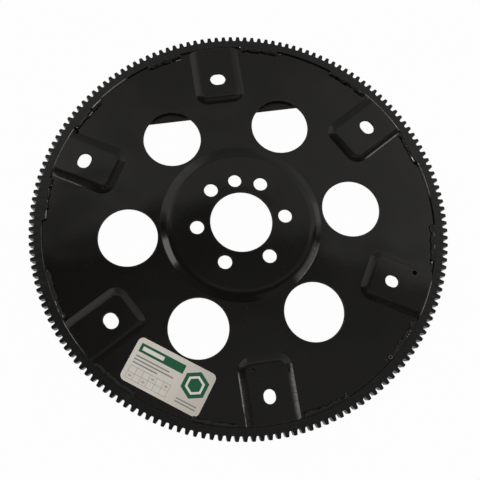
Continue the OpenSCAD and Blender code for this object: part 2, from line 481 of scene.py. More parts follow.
@dataclass(frozen=True)
class FloorFinish:
    """White sweep that stays white to the camera and keeps a faint shadow."""

    name: str
    colour: Colour = (0.8, 0.8, 0.8)
    glow: float = 0.97
    mirror_share: float = 0.35

    def make(self) -> bpy.types.Material:
        """Builds the material: a plain diffuse floor, mostly white light for straight looks.

        Returns:
            The material.
        """
        material, g = new_material(self.name)
        path = g.node("ShaderNodeLightPath", {}, {}, "Is Camera Ray")
        outs = path.link.node.outputs
        glossy = Socket(g, outs["Is Glossy Ray"])
        through = Socket(g, outs["Is Transmission Ray"])
        seen = path.math("MAXIMUM", glossy * self.mirror_share).math("MAXIMUM", through)
        plain = g.node("ShaderNodeBsdfDiffuse", {}, {"Color": (*self.colour, 1.0)})
        white = g.node("ShaderNodeEmission", {}, {"Color": (1.0, 1.0, 1.0, 1.0), "Strength": 1.0})
        g.surface(g.node("ShaderNodeMixShader", {}, [seen * self.glow, plain, white]))
        return material


# Meshes


def put_mesh(name: str, points: Array, faces: Array, material: bpy.types.Material,
             normals: Optional[Array] = None,
             attributes: Optional[dict[str, Array]] = None) -> bpy.types.Object:
    """Makes an object from arrays in millimetres.

    Args:
        name: The piece's name.
        points: Vertices, n by 3.
        faces: Corner numbers, m by 4, the last one -1 in a triangle.
        material: The finish.
        normals: Smooth normals at the vertices; faces are turned to agree with them.
        attributes: Numbers at the vertices, by name.

    Returns:
        The object, at the origin.
    """
    if normals is not None:
        faces = turned(points, faces, normals)
    mesh = bpy.data.meshes.new(name)
    three = faces[:, 3] < 0
    counts = np.where(three, 3, 4)
    corners = faces.ravel()[faces.ravel() >= 0]
    starts = np.concatenate([[0], np.cumsum(counts)[:-1]])
    mesh.vertices.add(len(points))
    mesh.vertices.foreach_set("co", (points * MM).ravel())
    mesh.loops.add(len(corners))
    mesh.loops.foreach_set("vertex_index", corners.astype(np.int32))
    mesh.polygons.add(len(faces))
    mesh.polygons.foreach_set("loop_start", starts.astype(np.int32))
    mesh.polygons.foreach_set("use_smooth", np.ones(len(faces), bool))
    mesh.update(calc_edges=True)
    mesh.validate()
    for key, values in (attributes or {}).items():
        made = mesh.attributes.new(key, "FLOAT", "POINT")
        made.data.foreach_set("value", values.astype(np.float32))
    if normals is not None:
        mesh.normals_split_custom_set_from_vertices(normals.tolist())
    mesh.materials.append(material)
    piece = bpy.data.objects.new(name, mesh)
    bpy.context.scene.collection.objects.link(piece)
    return piece


def turned(points: Array, faces: Array, normals: Array) -> Array:
    """Turns round each face that looks away from its corners' normals.

    Args:
        points: Vertices, n by 3.
        faces: Corner numbers, m by 4, the last one -1 in a triangle.
        normals: Normals at the vertices.

    Returns:
        The faces, all looking along the normals.
    """
    a, b, c = points[faces[:, 0]], points[faces[:, 1]], points[faces[:, 2]]
    last = np.where(faces[:, 3] < 0, faces[:, 2], faces[:, 3])
    flat = np.cross(c - a, points[last] - b)
    flat = np.where((faces[:, 3] < 0)[:, None], np.cross(b - a, c - a), flat)
    wanted = normals[faces[:, 0]] + normals[faces[:, 1]] + normals[faces[:, 2]] + normals[last]
    wrong = np.sum(flat * wanted, axis=1) < 0
    flipped = faces.copy()
    flipped[wrong] = np.where(
        (faces[wrong, 3] < 0)[:, None], faces[wrong][:, [2, 1, 0, 3]], faces[wrong][:, [3, 2, 1, 0]])
    return flipped


def put_uv(piece: bpy.types.Object, name: str, values: Array) -> None:
    """Gives a piece a UV map from one pair of numbers for each corner of its faces."""
    layer = piece.data.uv_layers.new(name=name)
    layer.data.foreach_set("uv", values.astype(np.float32).ravel())


def corner_numbers(piece: bpy.types.Object) -> tuple[Array, Array]:
    """The vertex and the face of each corner.

    Args:
        piece: The piece.

    Returns:
        Two rows of numbers, with one entry for each corner.
    """
    mesh = piece.data
    corners = np.empty(len(mesh.loops), np.int32)
    mesh.loops.foreach_get("vertex_index", corners)
    totals = np.empty(len(mesh.polygons), np.int32)
    mesh.polygons.foreach_get("loop_total", totals)
    return corners, np.repeat(np.arange(len(totals)), totals)


def grid_faces(rows: int, columns: int, close_rows: bool) -> Array:
    """Four-cornered faces of a grid of points, numbered row by row, whose rows are closed loops.

    Args:
        rows: Number of rows.
        columns: Points in a row.
        close_rows: True where the last row joins the first.

    Returns:
        Corner numbers, m by 4.
    """
    down = np.arange(rows if close_rows else rows - 1)
    i, j = np.meshgrid(down, np.arange(columns), indexing="ij")
    k, m = (i + 1) % rows, (j + 1) % columns
    corners = [i * columns + j, i * columns + m, k * columns + m, k * columns + j]
    return np.stack([c.ravel() for c in corners], axis=1)


def unit(vectors: Array) -> Array:
    """Vectors of length one."""
    return vectors / np.maximum(np.linalg.norm(vectors, axis=-1, keepdims=True), 1e-12)


def ray(angle: Union[float, Array]) -> Array:
    """Direction at an angle in degrees from +Y, anticlockwise seen from the front."""
    turn = np.radians(angle)
    return np.stack([-np.sin(turn), np.cos(turn)], axis=-1)


def across(angle: Union[float, Array]) -> Array:
    """Direction to the right of a ray, seen from the front."""
    turn = np.radians(angle)
    return np.stack([np.cos(turn), np.sin(turn)], axis=-1)


@dataclass(frozen=True)
class Outline:
    """A closed edge of a sheet: its points in order, and the way from each into the sheet."""

    points: Array
    into: Array

    @staticmethod
    def circle(middle: Sequence[float], radius: float, angles: Array, hole: bool) -> "Outline":
        """A round edge; a hole's sheet lies outside it.

        Args:
            middle: The middle.
            radius: The radius.
            angles: Angles of its points in degrees.
            hole: True for a hole.

        Returns:
            The edge.
        """
        out = ray(angles)
        points = np.asarray(middle, float) + radius * out
        return Outline(points, out if hole else -out)

    @staticmethod
    def hole(middle: Sequence[float], radius: float, step: float) -> "Outline":
        """A round hole with a point every step degrees."""
        return Outline.circle(middle, radius, np.arange(0, 360, step), True)

    @staticmethod
    def slot(middle: Sequence[float], angle: float, length: float, width: float, count: int) -> "Outline":
        """A hole with two half-round ends, its length along an angle.

        Args:
            middle: The middle.
            angle: Way of its length in degrees.
            length: Whole length.
            width: Width.
            count: Points on each end.

        Returns:
            The edge.
        """
        half = (length - width) / 2
        turn = np.linspace(-90, 90, count)
        out = np.concatenate([ray(angle + turn), ray(angle + 180 + turn)])
        shift = np.concatenate([np.full(count, half), np.full(count, -half)])[:, None] * ray(angle)
        return Outline(np.asarray(middle, float) + shift + out * width / 2, out)

    def moved(self, distance: float) -> Array:
        """The edge moved into the sheet."""
        return self.points + self.into * distance


def odd_inside(spots: Array, loops: Sequence[Array]) -> Array:
    """True where a line from a spot crosses the loops an odd number of times.

    Args:
        spots: Points to test, n by 2.
        loops: Closed loops of points.

    Returns:
        True or False for each spot.
    """
    inside = np.zeros(len(spots), bool)
    x, y = spots[:, :1], spots[:, 1:]
    for loop in loops:
        after = np.roll(loop, -1, axis=0)
        spans = (loop[:, 1] > y) != (after[:, 1] > y)
        rise = np.where(after[:, 1] == loop[:, 1], 1e-12, after[:, 1] - loop[:, 1])
        crossing = loop[:, 0] + (y - loop[:, 1]) * (after[:, 0] - loop[:, 0]) / rise
        inside ^= (np.sum(spans & (x < crossing), axis=1) % 2).astype(bool)
    return inside


@dataclass
class Sheet:
    """A sheet with holes and rounded edges, whose front height is a function of the plan."""

    outlines: list[Outline]
    height: Callable[[Array], Array]
    thickness: float
    lip: float = 0.5
    margin: float = 0.9
    lip_rows: int = 4
    ridges: list[Array] = field(default_factory=list)
    pits: list[Outline] = field(default_factory=list)
    pit_depth: float = 1.2
    pit_point: float = 0.9

    def build(self) -> tuple[Array, Array, Array, Array, Array]:
        """Triangulates the plan, lifts it to the two faces and joins them by rounded walls.

        Returns:
            Points, faces, normals, each point's nearness to an edge, and its share of a cut wall.
        """
        plan, front, back, loops, near = self._plan()
        top = self.height(plan)
        up = self._normals(plan)
        count = len(plan)
        points = [np.column_stack([plan, top]), np.column_stack([plan, top - self.thickness])]
        normals = [up, -up]
        edges = [near, near]
        walls = [np.zeros(2 * count)]
        faces = [np.column_stack([front, np.full(len(front), -1)]),
                 np.column_stack([back + count, np.full(len(back), -1)])]
        total = 2 * count
        bend = np.linspace(0, 1, self.lip_rows + 1)[1:]
        cut = np.clip(2 * bend - 1, 0, CUT_WALL)
        for outline, loop in zip(self.outlines, loops):
            rows, tilt = self._wall(outline, top[loop], up[loop])
            inner = total + np.arange(len(rows) * len(loop)).reshape(len(rows), -1)
            faces.append(self._rungs(np.vstack([loop[None], inner, loop[None] + count])))
            points.append(rows.reshape(-1, 3))
            normals.append(tilt.reshape(-1, 3))
            edges.append(np.ones(inner.size))
            walls.append(np.repeat(np.concatenate([cut, cut[::-1]]), len(loop)))
            total += inner.size
        for outline, loop in zip(self.pits, loops[len(self.outlines):]):
            rows, tilt = self._wall(outline, top[loop], up[loop])
            floor = rows[self.lip_rows - 1].copy()
            floor[:, 2] = top[loop] - self.pit_depth
            rows = np.concatenate([rows[:self.lip_rows], floor[None]])
            tilt = np.concatenate([tilt[:self.lip_rows], unit(tilt[self.lip_rows - 1] + up[loop])[None]])
            inner = total + np.arange(len(rows) * len(loop)).reshape(len(rows), -1)
            tip = np.full(len(loop), total + inner.size)
            fan = np.column_stack([inner[-1], np.roll(inner[-1], -1), tip, np.full(len(loop), -1)])
            faces.extend([self._rungs(np.vstack([loop[None], inner])), fan])
            middle = floor.mean(axis=0) - np.array([0, 0, self.pit_point])
            points.append(np.vstack([rows.reshape(-1, 3), middle]))
            normals.append(np.vstack([tilt.reshape(-1, 3), [[0.0, 0.0, 1.0]]]))
            edges.append(np.ones(inner.size + 1))
            # These pit walls get painted shade in the paint
            walls.append(np.full(inner.size + 1, PIT_SHADE_WALL))
            total += inner.size + 1
        return (np.vstack(points), np.vstack(faces), np.vstack(normals), np.concatenate(edges),
                np.concatenate(walls))

    @staticmethod
    def _rungs(ladder: Array) -> Array:
        """Four-cornered faces between the rows of point numbers of a closed wall."""
        step = np.roll(ladder, -1, axis=1)
        return np.stack([ladder[:-1], step[:-1], step[1:], ladder[1:]], axis=-1).reshape(-1, 4)

    def _plan(self) -> tuple[Array, Array, Array, list[Array], Array]:
        """Triangulates the plan between its edges, with the ridges as fixed lines.

        Returns:
            Plan points, front and back triangles, each edge's loop of points, and nearness to an edge.
        """
        bars: list[Array] = []
        first = 0
        bases = [o.moved(self.lip) for o in self.outlines + self.pits]
        margins = [o.moved(self.lip + self.margin) for o in self.outlines + self.pits]
        paths = bases + margins + self.ridges
        for k, path in enumerate(paths):
            number = first + np.arange(len(path))
            pairs = np.column_stack([number, np.roll(number, -1)])
            bars.append(pairs if k < len(bases + margins) else pairs[:-1])
            first += len(path)
        given = np.vstack(paths)
        spots = [Vector(p) for p in given.tolist()]
        made = delaunay_2d_cdt(spots, np.vstack(bars).tolist(), [], 0, 1e-6)
        plan = np.array([tuple(v) for v in made[0]])
        triangles = np.array([tuple(f) for f in made[2]])
        source = np.full(len(given), -1)
        for new, olds in enumerate(made[3]):
            source[olds] = new
        middles = plan[triangles].mean(axis=1)
        front = triangles[odd_inside(middles, bases)]
        back = triangles[odd_inside(middles, bases[:len(self.outlines)])]
        kept = np.unique(back)
        place = np.full(len(plan), -1)
        place[kept] = np.arange(len(kept))
        ends = np.cumsum([0] + [len(b) for b in bases])
        loops = [place[source[a:b]] for a, b in zip(ends[:-1], ends[1:])]
        near = np.zeros(len(kept))
        near[np.concatenate(loops)] = 1.0
        return plan[kept], place[front], place[back], loops, near

    def _normals(self, plan: Array) -> Array:
        """Front normals, from the slope of the height over a twentieth of a millimetre.

        Args:
            plan: Plan points.

        Returns:
            Unit normals.
        """
        step = 0.05
        dx, dy = np.array([step, 0.0]), np.array([0.0, step])
        slope_x = (self.height(plan + dx) - self.height(plan - dx)) / (2 * step)
        slope_y = (self.height(plan + dy) - self.height(plan - dy)) / (2 * step)
        return unit(np.column_stack([-slope_x, -slope_y, np.ones(len(plan))]))

    def _wall(self, outline: Outline, top: Array, up: Array) -> tuple[Array, Array]:
        """Rows of the rounded wall: quarter circles at front and back with a straight wall between.

        Args:
            outline: The edge.
            top: Front height at its base.
            up: Front normals there.

        Returns:
            Points and normals of the rows, from front to back.
        """
        turn = np.linspace(0, np.pi / 2, self.lip_rows + 1)[1:]
        reach = self.lip * (1 - np.sin(turn))
        drop = self.lip * (1 - np.cos(turn))
        out = np.column_stack([-outline.into, np.zeros(len(top))])
        flat = outline.points[None] + outline.into[None] * reach[:, None, None]
        front = np.concatenate([flat, (top[None] - drop[:, None])[..., None]], axis=-1)
        tilt = unit(np.cos(turn)[:, None, None] * up[None] + np.sin(turn)[:, None, None] * out[None])
        rear = np.concatenate([flat, (top[None] - self.thickness + drop[:, None])[..., None]], axis=-1)
        lean = unit(-np.cos(turn)[:, None, None] * up[None] + np.sin(turn)[:, None, None] * out[None])
        return np.concatenate([front, rear[::-1]]), np.concatenate([tilt, lean[::-1]])


@dataclass(frozen=True)
class PressedStep:
    """A pressed step: rounded crown, straight flank and a tight foot.

    The flank leans by asin(S / hypot(run, S - rise)) - atan2(S - rise, run), where S is the sum of
    the crown's and the foot's radius.
    """

    run: float
    rise: float
    crown: float
    foot: float

    @property
    def lean(self) -> float:
        """Slope of the flank, by the formula above.

        Returns:
            The angle in radians.
        """
        both = self.crown + self.foot
        over = both - self.rise
        return math.asin(both / math.hypot(self.run, over)) - math.atan2(over, self.run)

    def height(self, s: Array) -> Array:
        """Height above the foot: an arc at the crown, a straight flank and a counter-arc at the foot.

        Args:
            s: Distance from the edge of the flat top.

        Returns:
            The height.
        """
        lean = self.lean
        turn_in = self.crown * math.sin(lean)
        turn_out = self.run - self.foot * math.sin(lean)
        near = np.clip(s, 0, turn_in)
        crown = self.rise - self.crown + np.sqrt(np.maximum(self.crown ** 2 - near ** 2, 0))
        low = self.foot * (1 - math.cos(lean))
        flank = low + (turn_out - s) * math.tan(lean)
        gap = np.clip(self.run - s, 0, self.run - turn_out)
        foot = self.foot - np.sqrt(np.maximum(self.foot ** 2 - gap ** 2, 0))
        return np.where(s <= turn_in, crown, np.where(s <= turn_out, flank, foot))

    def rows(self) -> Array:
        """Distances at which the mesh needs rows.

        Returns:
            The distances, in order.
        """
        lean = self.lean
        crown = self.crown * np.sin(np.linspace(0, lean, 5))
        foot = self.run - self.foot * np.sin(np.linspace(lean, 0, 3))
        return np.concatenate([crown, np.linspace(crown[-1], foot[0], 4)[1:-1], foot])


@dataclass
class StampedDisc:
    """The pressed disc: raised hub, six raised pads, six round windows and its bolt holes."""

    rim_r: float
    web_z: float
    sheet_t: float = 3.0
    bore_r: float = 26.8
    hub_flat_r: float = 58.3
    hub: PressedStep = PressedStep(11.0, 3.6, 15.0, 1.0)
    pad: PressedStep = PressedStep(8.0, 1.9, 16.0, 0.9)
    pad_w: float = 44.5
    pad_inner_r: float = 112.8
    pad_corner_r: float = 11.0
    window_r: float = 25.5
    window_circle_r: float = 97.1
    crank_hole_r: float = 6.25
    crank_circle_r: float = 38.1
    crank_angles: tuple[float, ...] = (34.7, 90.0, 150.0, -34.7, -90.0, -150.0)
    dowel_r: float = 6.0
    dowel_circle_r: float = 37.15
    small_circle_r: float = 136.525
    large_circle_r: float = 146.05
    slot: tuple[float, float] = (14.4, 12.0)
    close_hole: tuple[float, float] = (12.1, 10.5)
    large_circle_pads: tuple[int, ...] = (1, 3, 5)
    close_hole_pads: tuple[int, ...] = (3, 4)
    pad_count: int = 6
    lip: float = 0.4
    hole_trim: float = 0.27
    drill_r: float = 1.6
    # Distance from the axis and angle of the drilled spot
    drill_spot: tuple[float, float] = (153.0, 245.3)
    # Degrees between the points of each kind of edge, and the points on a slot's end
    rim_step: float = 1.0
    bore_step: float = 3.0
    window_step: float = 2.0
    hole_step: float = 7.5
    drill_step: float = 15.0
    slot_points: int = 24
    # Extra mesh rows at the foot of a pad and of the hub: distance before the foot's end
    pad_foot_rows: tuple[float, ...] = (3.0, 2.0, 1.4, 0.5, 0.15, -0.3)
    hub_foot_rows: tuple[float, ...] = (2.0, 1.2, -0.3)
    # Mesh rings round a dent, in shares of its radius
    dent_rows: tuple[float, ...] = (0.3, 0.7, 1.1, 1.6, 2.2)
    # Scale of the draw marks' streaks across and along a pad
    streak_scale: tuple[float, float] = (0.22, 1.1)
    # Small dents: place, depth and radius
    dents: tuple[tuple[float, float, float, float], ...] = (
        (-10.0, -124.0, 0.3, 1.3), (-112.0, 46.0, 0.35, 1.1))
    # Draw marks on a pad's side: pad, side, start and end along the pad, width from the foot, strength
    draw_marks: tuple[tuple[int, int, float, float, float, float], ...] = (
        (1, -1, 137.0, 172.0, 1.0, 0.6), (1, -1, 161.0, 174.0, 3.0, 0.35), (1, -1, 128.0, 170.0, 6.5, 0.03),
        (2, -1, 124.0, 170.0, 6.0, 0.01),
        (3, -1, 122.0, 150.0, 2.4, 0.75), (3, -1, 130.0, 170.0, 4.2, 0.7), (3, 1, 123.0, 158.0, 1.1, 1.0),
        (3, 1, 159.0, 175.0, 0.9, 0.7), (3, 1, 127.0, 170.0, 7.0, 0.05), (4, 1, 126.0, 170.0, 6.0, 0.015),
        (5, 1, 124.0, 168.0, 1.2, 1.0))
    # Stretches of the hub's flank with draw marks: start and end in degrees from +X, and strength
    hub_marks: tuple[tuple[float, float, float], ...] = ((178.0, 210.0, 0.06), (302.0, 338.0, 0.65))

    @property
    def pad_step(self) -> float:
        """Degrees from one pad to the next."""
        return 360.0 / self.pad_count

    def pad_place(self, plan: Array, pad: Array) -> tuple[Array, Array]:
        """Place of plan points to the right of a pad's middle line and along it."""
        angle = self.pad_step * pad
        return np.sum(plan * across(angle), axis=-1), np.sum(plan * ray(angle), axis=-1)

    def nearest_pad(self, plan: Array) -> Array:
        """Number of the pad whose sector holds each plan point."""
        angle = np.degrees(np.arctan2(-plan[:, 0], plan[:, 1]))
        return np.round(angle / self.pad_step) % self.pad_count

    def pad_distance(self, plan: Array) -> tuple[Array, Array, Array]:
        """Distance of plan points from a pad's flat top, which is a U with round corners, open at the rim.

        Args:
            plan: Plan points.

        Returns:
            The distance, and the place across and along the nearest pad.
        """
        u, v = self.pad_place(plan, self.nearest_pad(plan))
        qx = np.maximum(np.abs(u) - (self.pad_w / 2 - self.pad_corner_r), 0)
        qy = np.maximum(self.pad_inner_r + self.pad_corner_r - v, 0)
        return np.hypot(qx, qy) - (self.pad_corner_r - self.pad.run), u, v

    def height(self, plan: Array) -> Array:
        """Front height: the web, plus the steps of hub and pads, less a bell curve for each dent.

        Args:
            plan: Plan points.

        Returns:
            The heights.
        """
        radius = np.hypot(plan[:, 0], plan[:, 1])
        made = self.web_z + self.hub.height(radius - self.hub_flat_r)
        made = made + self.pad.height(self.pad_distance(plan)[0])
        for x, y, depth, reach in self.dents:
            away = np.hypot(plan[:, 0] - x, plan[:, 1] - y) / reach
            made = made - depth * np.exp(-away ** 2)
        return made

    def outlines(self) -> list[Outline]:
        """Every edge of the disc.

        Returns:
            The edges, the rim first.
        """
        trim = self.hole_trim
        made = [Outline.circle((0, 0), self.rim_r, self._rim_angles(), False),
                Outline.hole((0, 0), self.bore_r - trim, self.bore_step)]
        for pad in range(self.pad_count):
            angle = self.pad_step * pad
            middle = self.window_circle_r * ray(angle + self.pad_step / 2)
            made.append(Outline.hole(middle, self.window_r - trim, self.window_step))
            reach = self.large_circle_r if pad in self.large_circle_pads else self.small_circle_r
            close = pad in self.close_hole_pads
            length, width = self.close_hole if close else self.slot
            turn = angle + (0.0 if close else 90.0)
            made.append(Outline.slot(reach * ray(angle), turn, length - 2 * trim, width - 2 * trim,
                                     self.slot_points))
        for angle in self.crank_angles:
            middle = self.crank_circle_r * ray(angle)
            made.append(Outline.hole(middle, self.crank_hole_r - trim, self.hole_step))
        made.append(Outline.hole((0, self.dowel_circle_r), self.dowel_r - trim, self.hole_step))
        return made

    def _pad_rows(self) -> Array:
        """Distances of the mesh rows round a pad."""
        rows = np.sort(np.append(self.pad.rows(), self.pad.run - np.array(self.pad_foot_rows)))
        return rows[np.concatenate([[True], np.diff(rows) > 0.06])]

    def _rim_angles(self) -> Array:
        """Angles of the rim's points: even ones, and those where a pad's rows meet the rim.

        Returns:
            The angles in degrees, in order.
        """
        even = np.arange(0, 360, self.rim_step)
        reach = self.pad_w / 2 - self.pad.run + self._pad_rows()
        ends = np.degrees(np.arcsin(reach / (self.rim_r - self.lip)))
        ends = np.concatenate([ends, -ends])
        ends = (ends[None] + self.pad_step * np.arange(self.pad_count)[:, None]).ravel() % 360
        clear = np.abs((even[:, None] - ends[None] + 180) % 360 - 180).min(axis=1) > 0.08
        return np.sort(np.concatenate([even[clear], ends]))

    def ridges(self) -> list[Array]:
        """Rings round the hub, U-shaped rows round each pad and rings round each dent.

        Returns:
            The rows, as paths in plan.
        """
        turn = np.linspace(0, 360, 181)
        hub_rows = np.sort(np.append(self.hub.rows(), self.hub.run - np.array(self.hub_foot_rows)))
        made = [(self.hub_flat_r + s) * ray(turn) for s in hub_rows]
        corner_x = self.pad_w / 2 - self.pad_corner_r
        corner_y = self.pad_inner_r + self.pad_corner_r
        for s in self._pad_rows():
            d = self.pad_corner_r - self.pad.run + s
            end = math.sqrt((self.rim_r - self.lip) ** 2 - (corner_x + d) ** 2)
            side = np.linspace(end, corner_y, 10)[:-1]
            bend = np.radians(np.linspace(0, 90, 10))
            arc_u = corner_x + d * np.cos(bend)
            arc_v = corner_y - d * np.sin(bend)
            half_u = np.concatenate([np.full(len(side), corner_x + d), arc_u])
            half_v = np.concatenate([side, arc_v])
            u = np.concatenate([half_u, -half_u[::-1]])
            v = np.concatenate([half_v, half_v[::-1]])
            for angle in self.pad_step * np.arange(self.pad_count):
                made.append(u[:, None] * across(angle) + v[:, None] * ray(angle))
        bend = np.linspace(0, 360, 17)
        for x, y, _, reach in self.dents:
            made.extend(np.array([x, y]) + size * reach * ray(bend) for size in self.dent_rows)
        return made

    def _hub_marks(self, plan: Array) -> Array:
        """Depth of the draw marks on the hub: a third over the flank, the rest at its foot, with soft ends.

        Args:
            plan: Plan points.

        Returns:
            The depths, 0 to 1.
        """
        s = np.hypot(plan[:, 0], plan[:, 1]) - self.hub_flat_r
        foot = np.clip((s - self.hub.run + 1.2) / 0.9, 0, 1)
        flank = np.clip((s - 5.0) / 3.0, 0, 1)
        band = (flank * 0.33 + foot * 0.67) * np.clip((self.hub.run + 0.3 - s) / 0.3, 0, 1)
        angle = np.degrees(np.arctan2(plan[:, 1], plan[:, 0])) % 360
        depth = np.zeros(len(plan))
        for start, finish, share in self.hub_marks:
            inside = np.minimum(angle - start, finish - angle)
            depth = np.maximum(depth, np.clip(inside / 6.0, 0, 1) * share)
        return depth * band

    def _pad_marks(self, plan: Array) -> Array:
        """Depth of the draw marks on the pads' sides: growing towards the foot, with soft ends.

        Args:
            plan: Plan points.

        Returns:
            The depths, 0 to 1.
        """
        s, u, v = self.pad_distance(plan)
        pad = self.nearest_pad(plan).astype(int)
        depth = np.zeros(len(plan))
        foot = np.clip((self.pad.run + 0.3 - s) / 0.4, 0, 1)
        for number, side, start, finish, width, share in self.draw_marks:
            rise = np.clip((s - self.pad.run + width) / (width * 0.7), 0, 1)
            along = np.clip((v - start) / 3.0, 0, 1) * np.clip((finish - v) / 6.0, 0, 1)
            here = (pad == number) & (u * side > 0)
            depth = np.maximum(depth, np.where(here, rise * foot * along * share, 0))
        return depth

    def build(self, material: bpy.types.Material) -> bpy.types.Object:
        """Makes the disc with its edge, wall and draw-mark attributes and a UV map for the streaks.

        Args:
            material: The paint.

        Returns:
            The piece.
        """
        spot = Outline.hole(self.drill_spot[0] * ray(self.drill_spot[1]), self.drill_r, self.drill_step)
        sheet = Sheet(self.outlines(), self.height, self.sheet_t, self.lip,
                      ridges=self.ridges(), pits=[spot])
        points, faces, normals, near, wall = sheet.build()
        plan = points[:, :2]
        drawn = np.maximum(self._pad_marks(plan), self._hub_marks(plan)) * (normals[:, 2] > 0)
        attributes = {"edge": near, "wall": wall, "drawn": drawn}
        piece = put_mesh("stamped_disc_skin", points, faces, material, normals, attributes)
        corners, owner = corner_numbers(piece)
        middle = np.zeros((owner.max() + 1, 2))
        np.add.at(middle, owner, plan[corners])
        u, v = self.pad_place(plan[corners], self.nearest_pad(middle)[owner])
        radius = np.hypot(plan[corners, 0], plan[corners, 1])
        turn = np.arctan2(plan[corners, 1], plan[corners, 0]) * self.hub_flat_r
        hub = (radius < self.pad_inner_r - self.pad.run)[:, None]
        flat = np.where(hub, np.column_stack([radius, turn]), np.column_stack([u, v]))
        put_uv(piece, "pad", flat * np.array(self.streak_scale))
        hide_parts("stamped_disc")
        return piece


@dataclass
class ToothedRing:
    """The starter ring gear with its rounded and chamfered teeth."""

    tip_r: float
    bore_r: float
    width: float
    teeth: int = 168
    depth: float = 4.2
    tip_w: float = 2.65
    flank: float = 12.0
    root_r: float = 0.9
    tip_round: float = 0.4
    edge: float = 0.12
    tip_slope: float = 0.35
    slope_reach: float = 0.7
    # Share of the slope at the inner row of the rounded tooth edge
    slope_start: float = 0.75
    # Plain band of the face below the roots
    face_margin: float = 1.6
    # Share of the pitch that a tooth takes with its roots
    root_share: float = 0.985
    bore_edge: float = 0.3
    turn: float = 0.7
    # Bare stretches of the bore's front edge: start and end in degrees, and strength
    seam_spans: tuple[tuple[float, float, float], ...] = (
        (28.8, 39.6, 0.7), (51.0, 56.0, 1.0), (54.0, 66.0, 0.35), (82.5, 97.0, 0.1), (-67.0, -51.0, 1.0),
        (-90.0, -79.0, 0.3), (-126.5, -115.0, 0.5), (111.5, 120.5, 0.6), (118.0, 124.0, 0.15),
        (130.0, 141.0, 0.1))

    def tooth(self) -> tuple[Array, Array]:
        """Half-tooth curve from tip middle to root middle: rounded tip, straight flank and rounded root.

        Returns:
            Distance from the axis along the half tooth, and its half width there.
        """
        lean = math.tan(math.radians(self.flank))
        bend = np.radians(np.array([0.0, 30.0, 60.0, 90.0]) * (90 - self.flank) / 90)
        corner_w = self.tip_w / 2 - self.tip_round
        tip_w = corner_w + self.tip_round * np.sin(bend)
        tip_y = self.tip_r - self.tip_round * (1 - np.cos(bend))
        floor = self.tip_r - self.depth
        foot_y = floor + self.root_r * (1 - math.sin(math.radians(self.flank)))
        foot_w = tip_w[-1] + (tip_y[-1] - foot_y) * lean
        sweep = np.radians(np.linspace(self.flank, 90, 4))
        arc_w = foot_w + self.root_r * (math.cos(math.radians(self.flank)) - np.cos(sweep))
        arc_y = floor + self.root_r * (1 - np.sin(sweep))
        reach = np.concatenate([tip_y, [(tip_y[-1] + foot_y) / 2], arc_y])
        half_w = np.concatenate([tip_w, [(tip_w[-1] + foot_w) / 2], arc_w])
        return reach, half_w

    def outline(self) -> tuple[Array, Array]:
        """The whole toothed outline in plan: the tooth and its mirror image, turned round pitch by pitch.

        Returns:
            Its points and their outward normals.
        """
        y, w = self.tooth()
        along = np.concatenate([w[::-1] * -1, w])
        out = np.concatenate([y[::-1], y])
        turn = np.degrees(along / out)
        pitch = 360.0 / self.teeth
        limit = pitch / 2 * self.root_share
        turn = np.clip(turn, -limit, limit)
        middles = self.turn + pitch * np.arange(self.teeth)
        angle = (middles[:, None] + turn[None]).ravel()
        radius = np.tile(out, self.teeth)
        plan = radius[:, None] * ray(angle)
        run = np.roll(plan, -1, axis=0) - np.roll(plan, 1, axis=0)
        normal = unit(np.column_stack([run[:, 1], -run[:, 0]]))
        away = np.sum(normal * plan, axis=1).mean() > 0
        return plan, normal if away else -normal

    def build(self, material: bpy.types.Material) -> bpy.types.Object:
        """Carries the outline round a closed section: bore, faces, rounded tooth edges and tip slope.

        Args:
            material: The steel.

        Returns:
            The piece.
        """
        plan, normal = self.outline()
        radius = np.hypot(plan[:, 0], plan[:, 1])
        spoke = plan / radius[:, None]
        low = self.tip_r - self.depth - self.face_margin
        slope = np.maximum(radius - (self.tip_r - self.slope_reach), 0) * self.tip_slope
        e = self.edge

        def ring(place: Array, z: Union[float, Array]) -> Array:
            """One row of the section."""
            return np.column_stack([place, np.broadcast_to(z, len(place))])

        half = e * (1 - math.sqrt(0.5))
        rows = [
            ring(spoke * (self.bore_r + self.bore_edge), 0.0),
            ring(spoke * self.bore_r, self.bore_edge),
            ring(spoke * self.bore_r, self.width - self.bore_edge),
            ring(spoke * (self.bore_r + self.bore_edge), self.width),
            ring(spoke * (self.bore_r + self.bore_edge * 2), self.width),
            ring(spoke * low, self.width),
            ring(plan - normal * e, self.width - slope * self.slope_start),
            ring(plan - normal * half, self.width - half - slope),
            ring(plan, self.width - e - slope),
            ring(plan, e + slope),
            ring(plan - normal * half, half + slope),
            ring(plan - normal * e, slope * self.slope_start),
            ring(spoke * low, 0.0),
        ]
        # Rows 7 to 10 go round the tooth edges, 8 and 9 bound the tooth sides, 2 and 3 are the front seam
        # Lighter tooth sides and edges: partly rubbed wear, partly painted sheen
        wear_and_sheen = np.zeros((len(rows), len(plan)))
        wear_and_sheen[7:11] = 0.4
        wear_and_sheen[8:10] = 1.0
        bare = np.zeros((len(rows), len(plan)))
        bare[2:4] = self._seam(plan)
        points = np.vstack(rows)
        faces = self._outward(points, grid_faces(len(rows), len(plan), True))
        piece = put_mesh("ring_gear_skin", points, faces, material, None,
                         {"edge": wear_and_sheen.ravel(), "bare": bare.ravel()})
        weighted = piece.modifiers.new("flat faces", "WEIGHTED_NORMAL")
        weighted.weight = 70
        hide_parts("ring_gear")
        return piece

    def _seam(self, plan: Array) -> Array:
        """How bare the bore's front edge is at each outline point: set stretches with soft ends.

        Args:
            plan: Outline points.

        Returns:
            The bareness, 0 to 1.
        """
        angle = np.degrees(np.arctan2(-plan[:, 0], plan[:, 1]))
        wear_and_sheen = np.zeros(len(plan))
        for start, finish, share in self.seam_spans:
            inside = np.minimum(angle - start, finish - angle)
            wear_and_sheen = np.maximum(wear_and_sheen, np.clip(inside / 1.5, 0, 1) * share)
        return wear_and_sheen

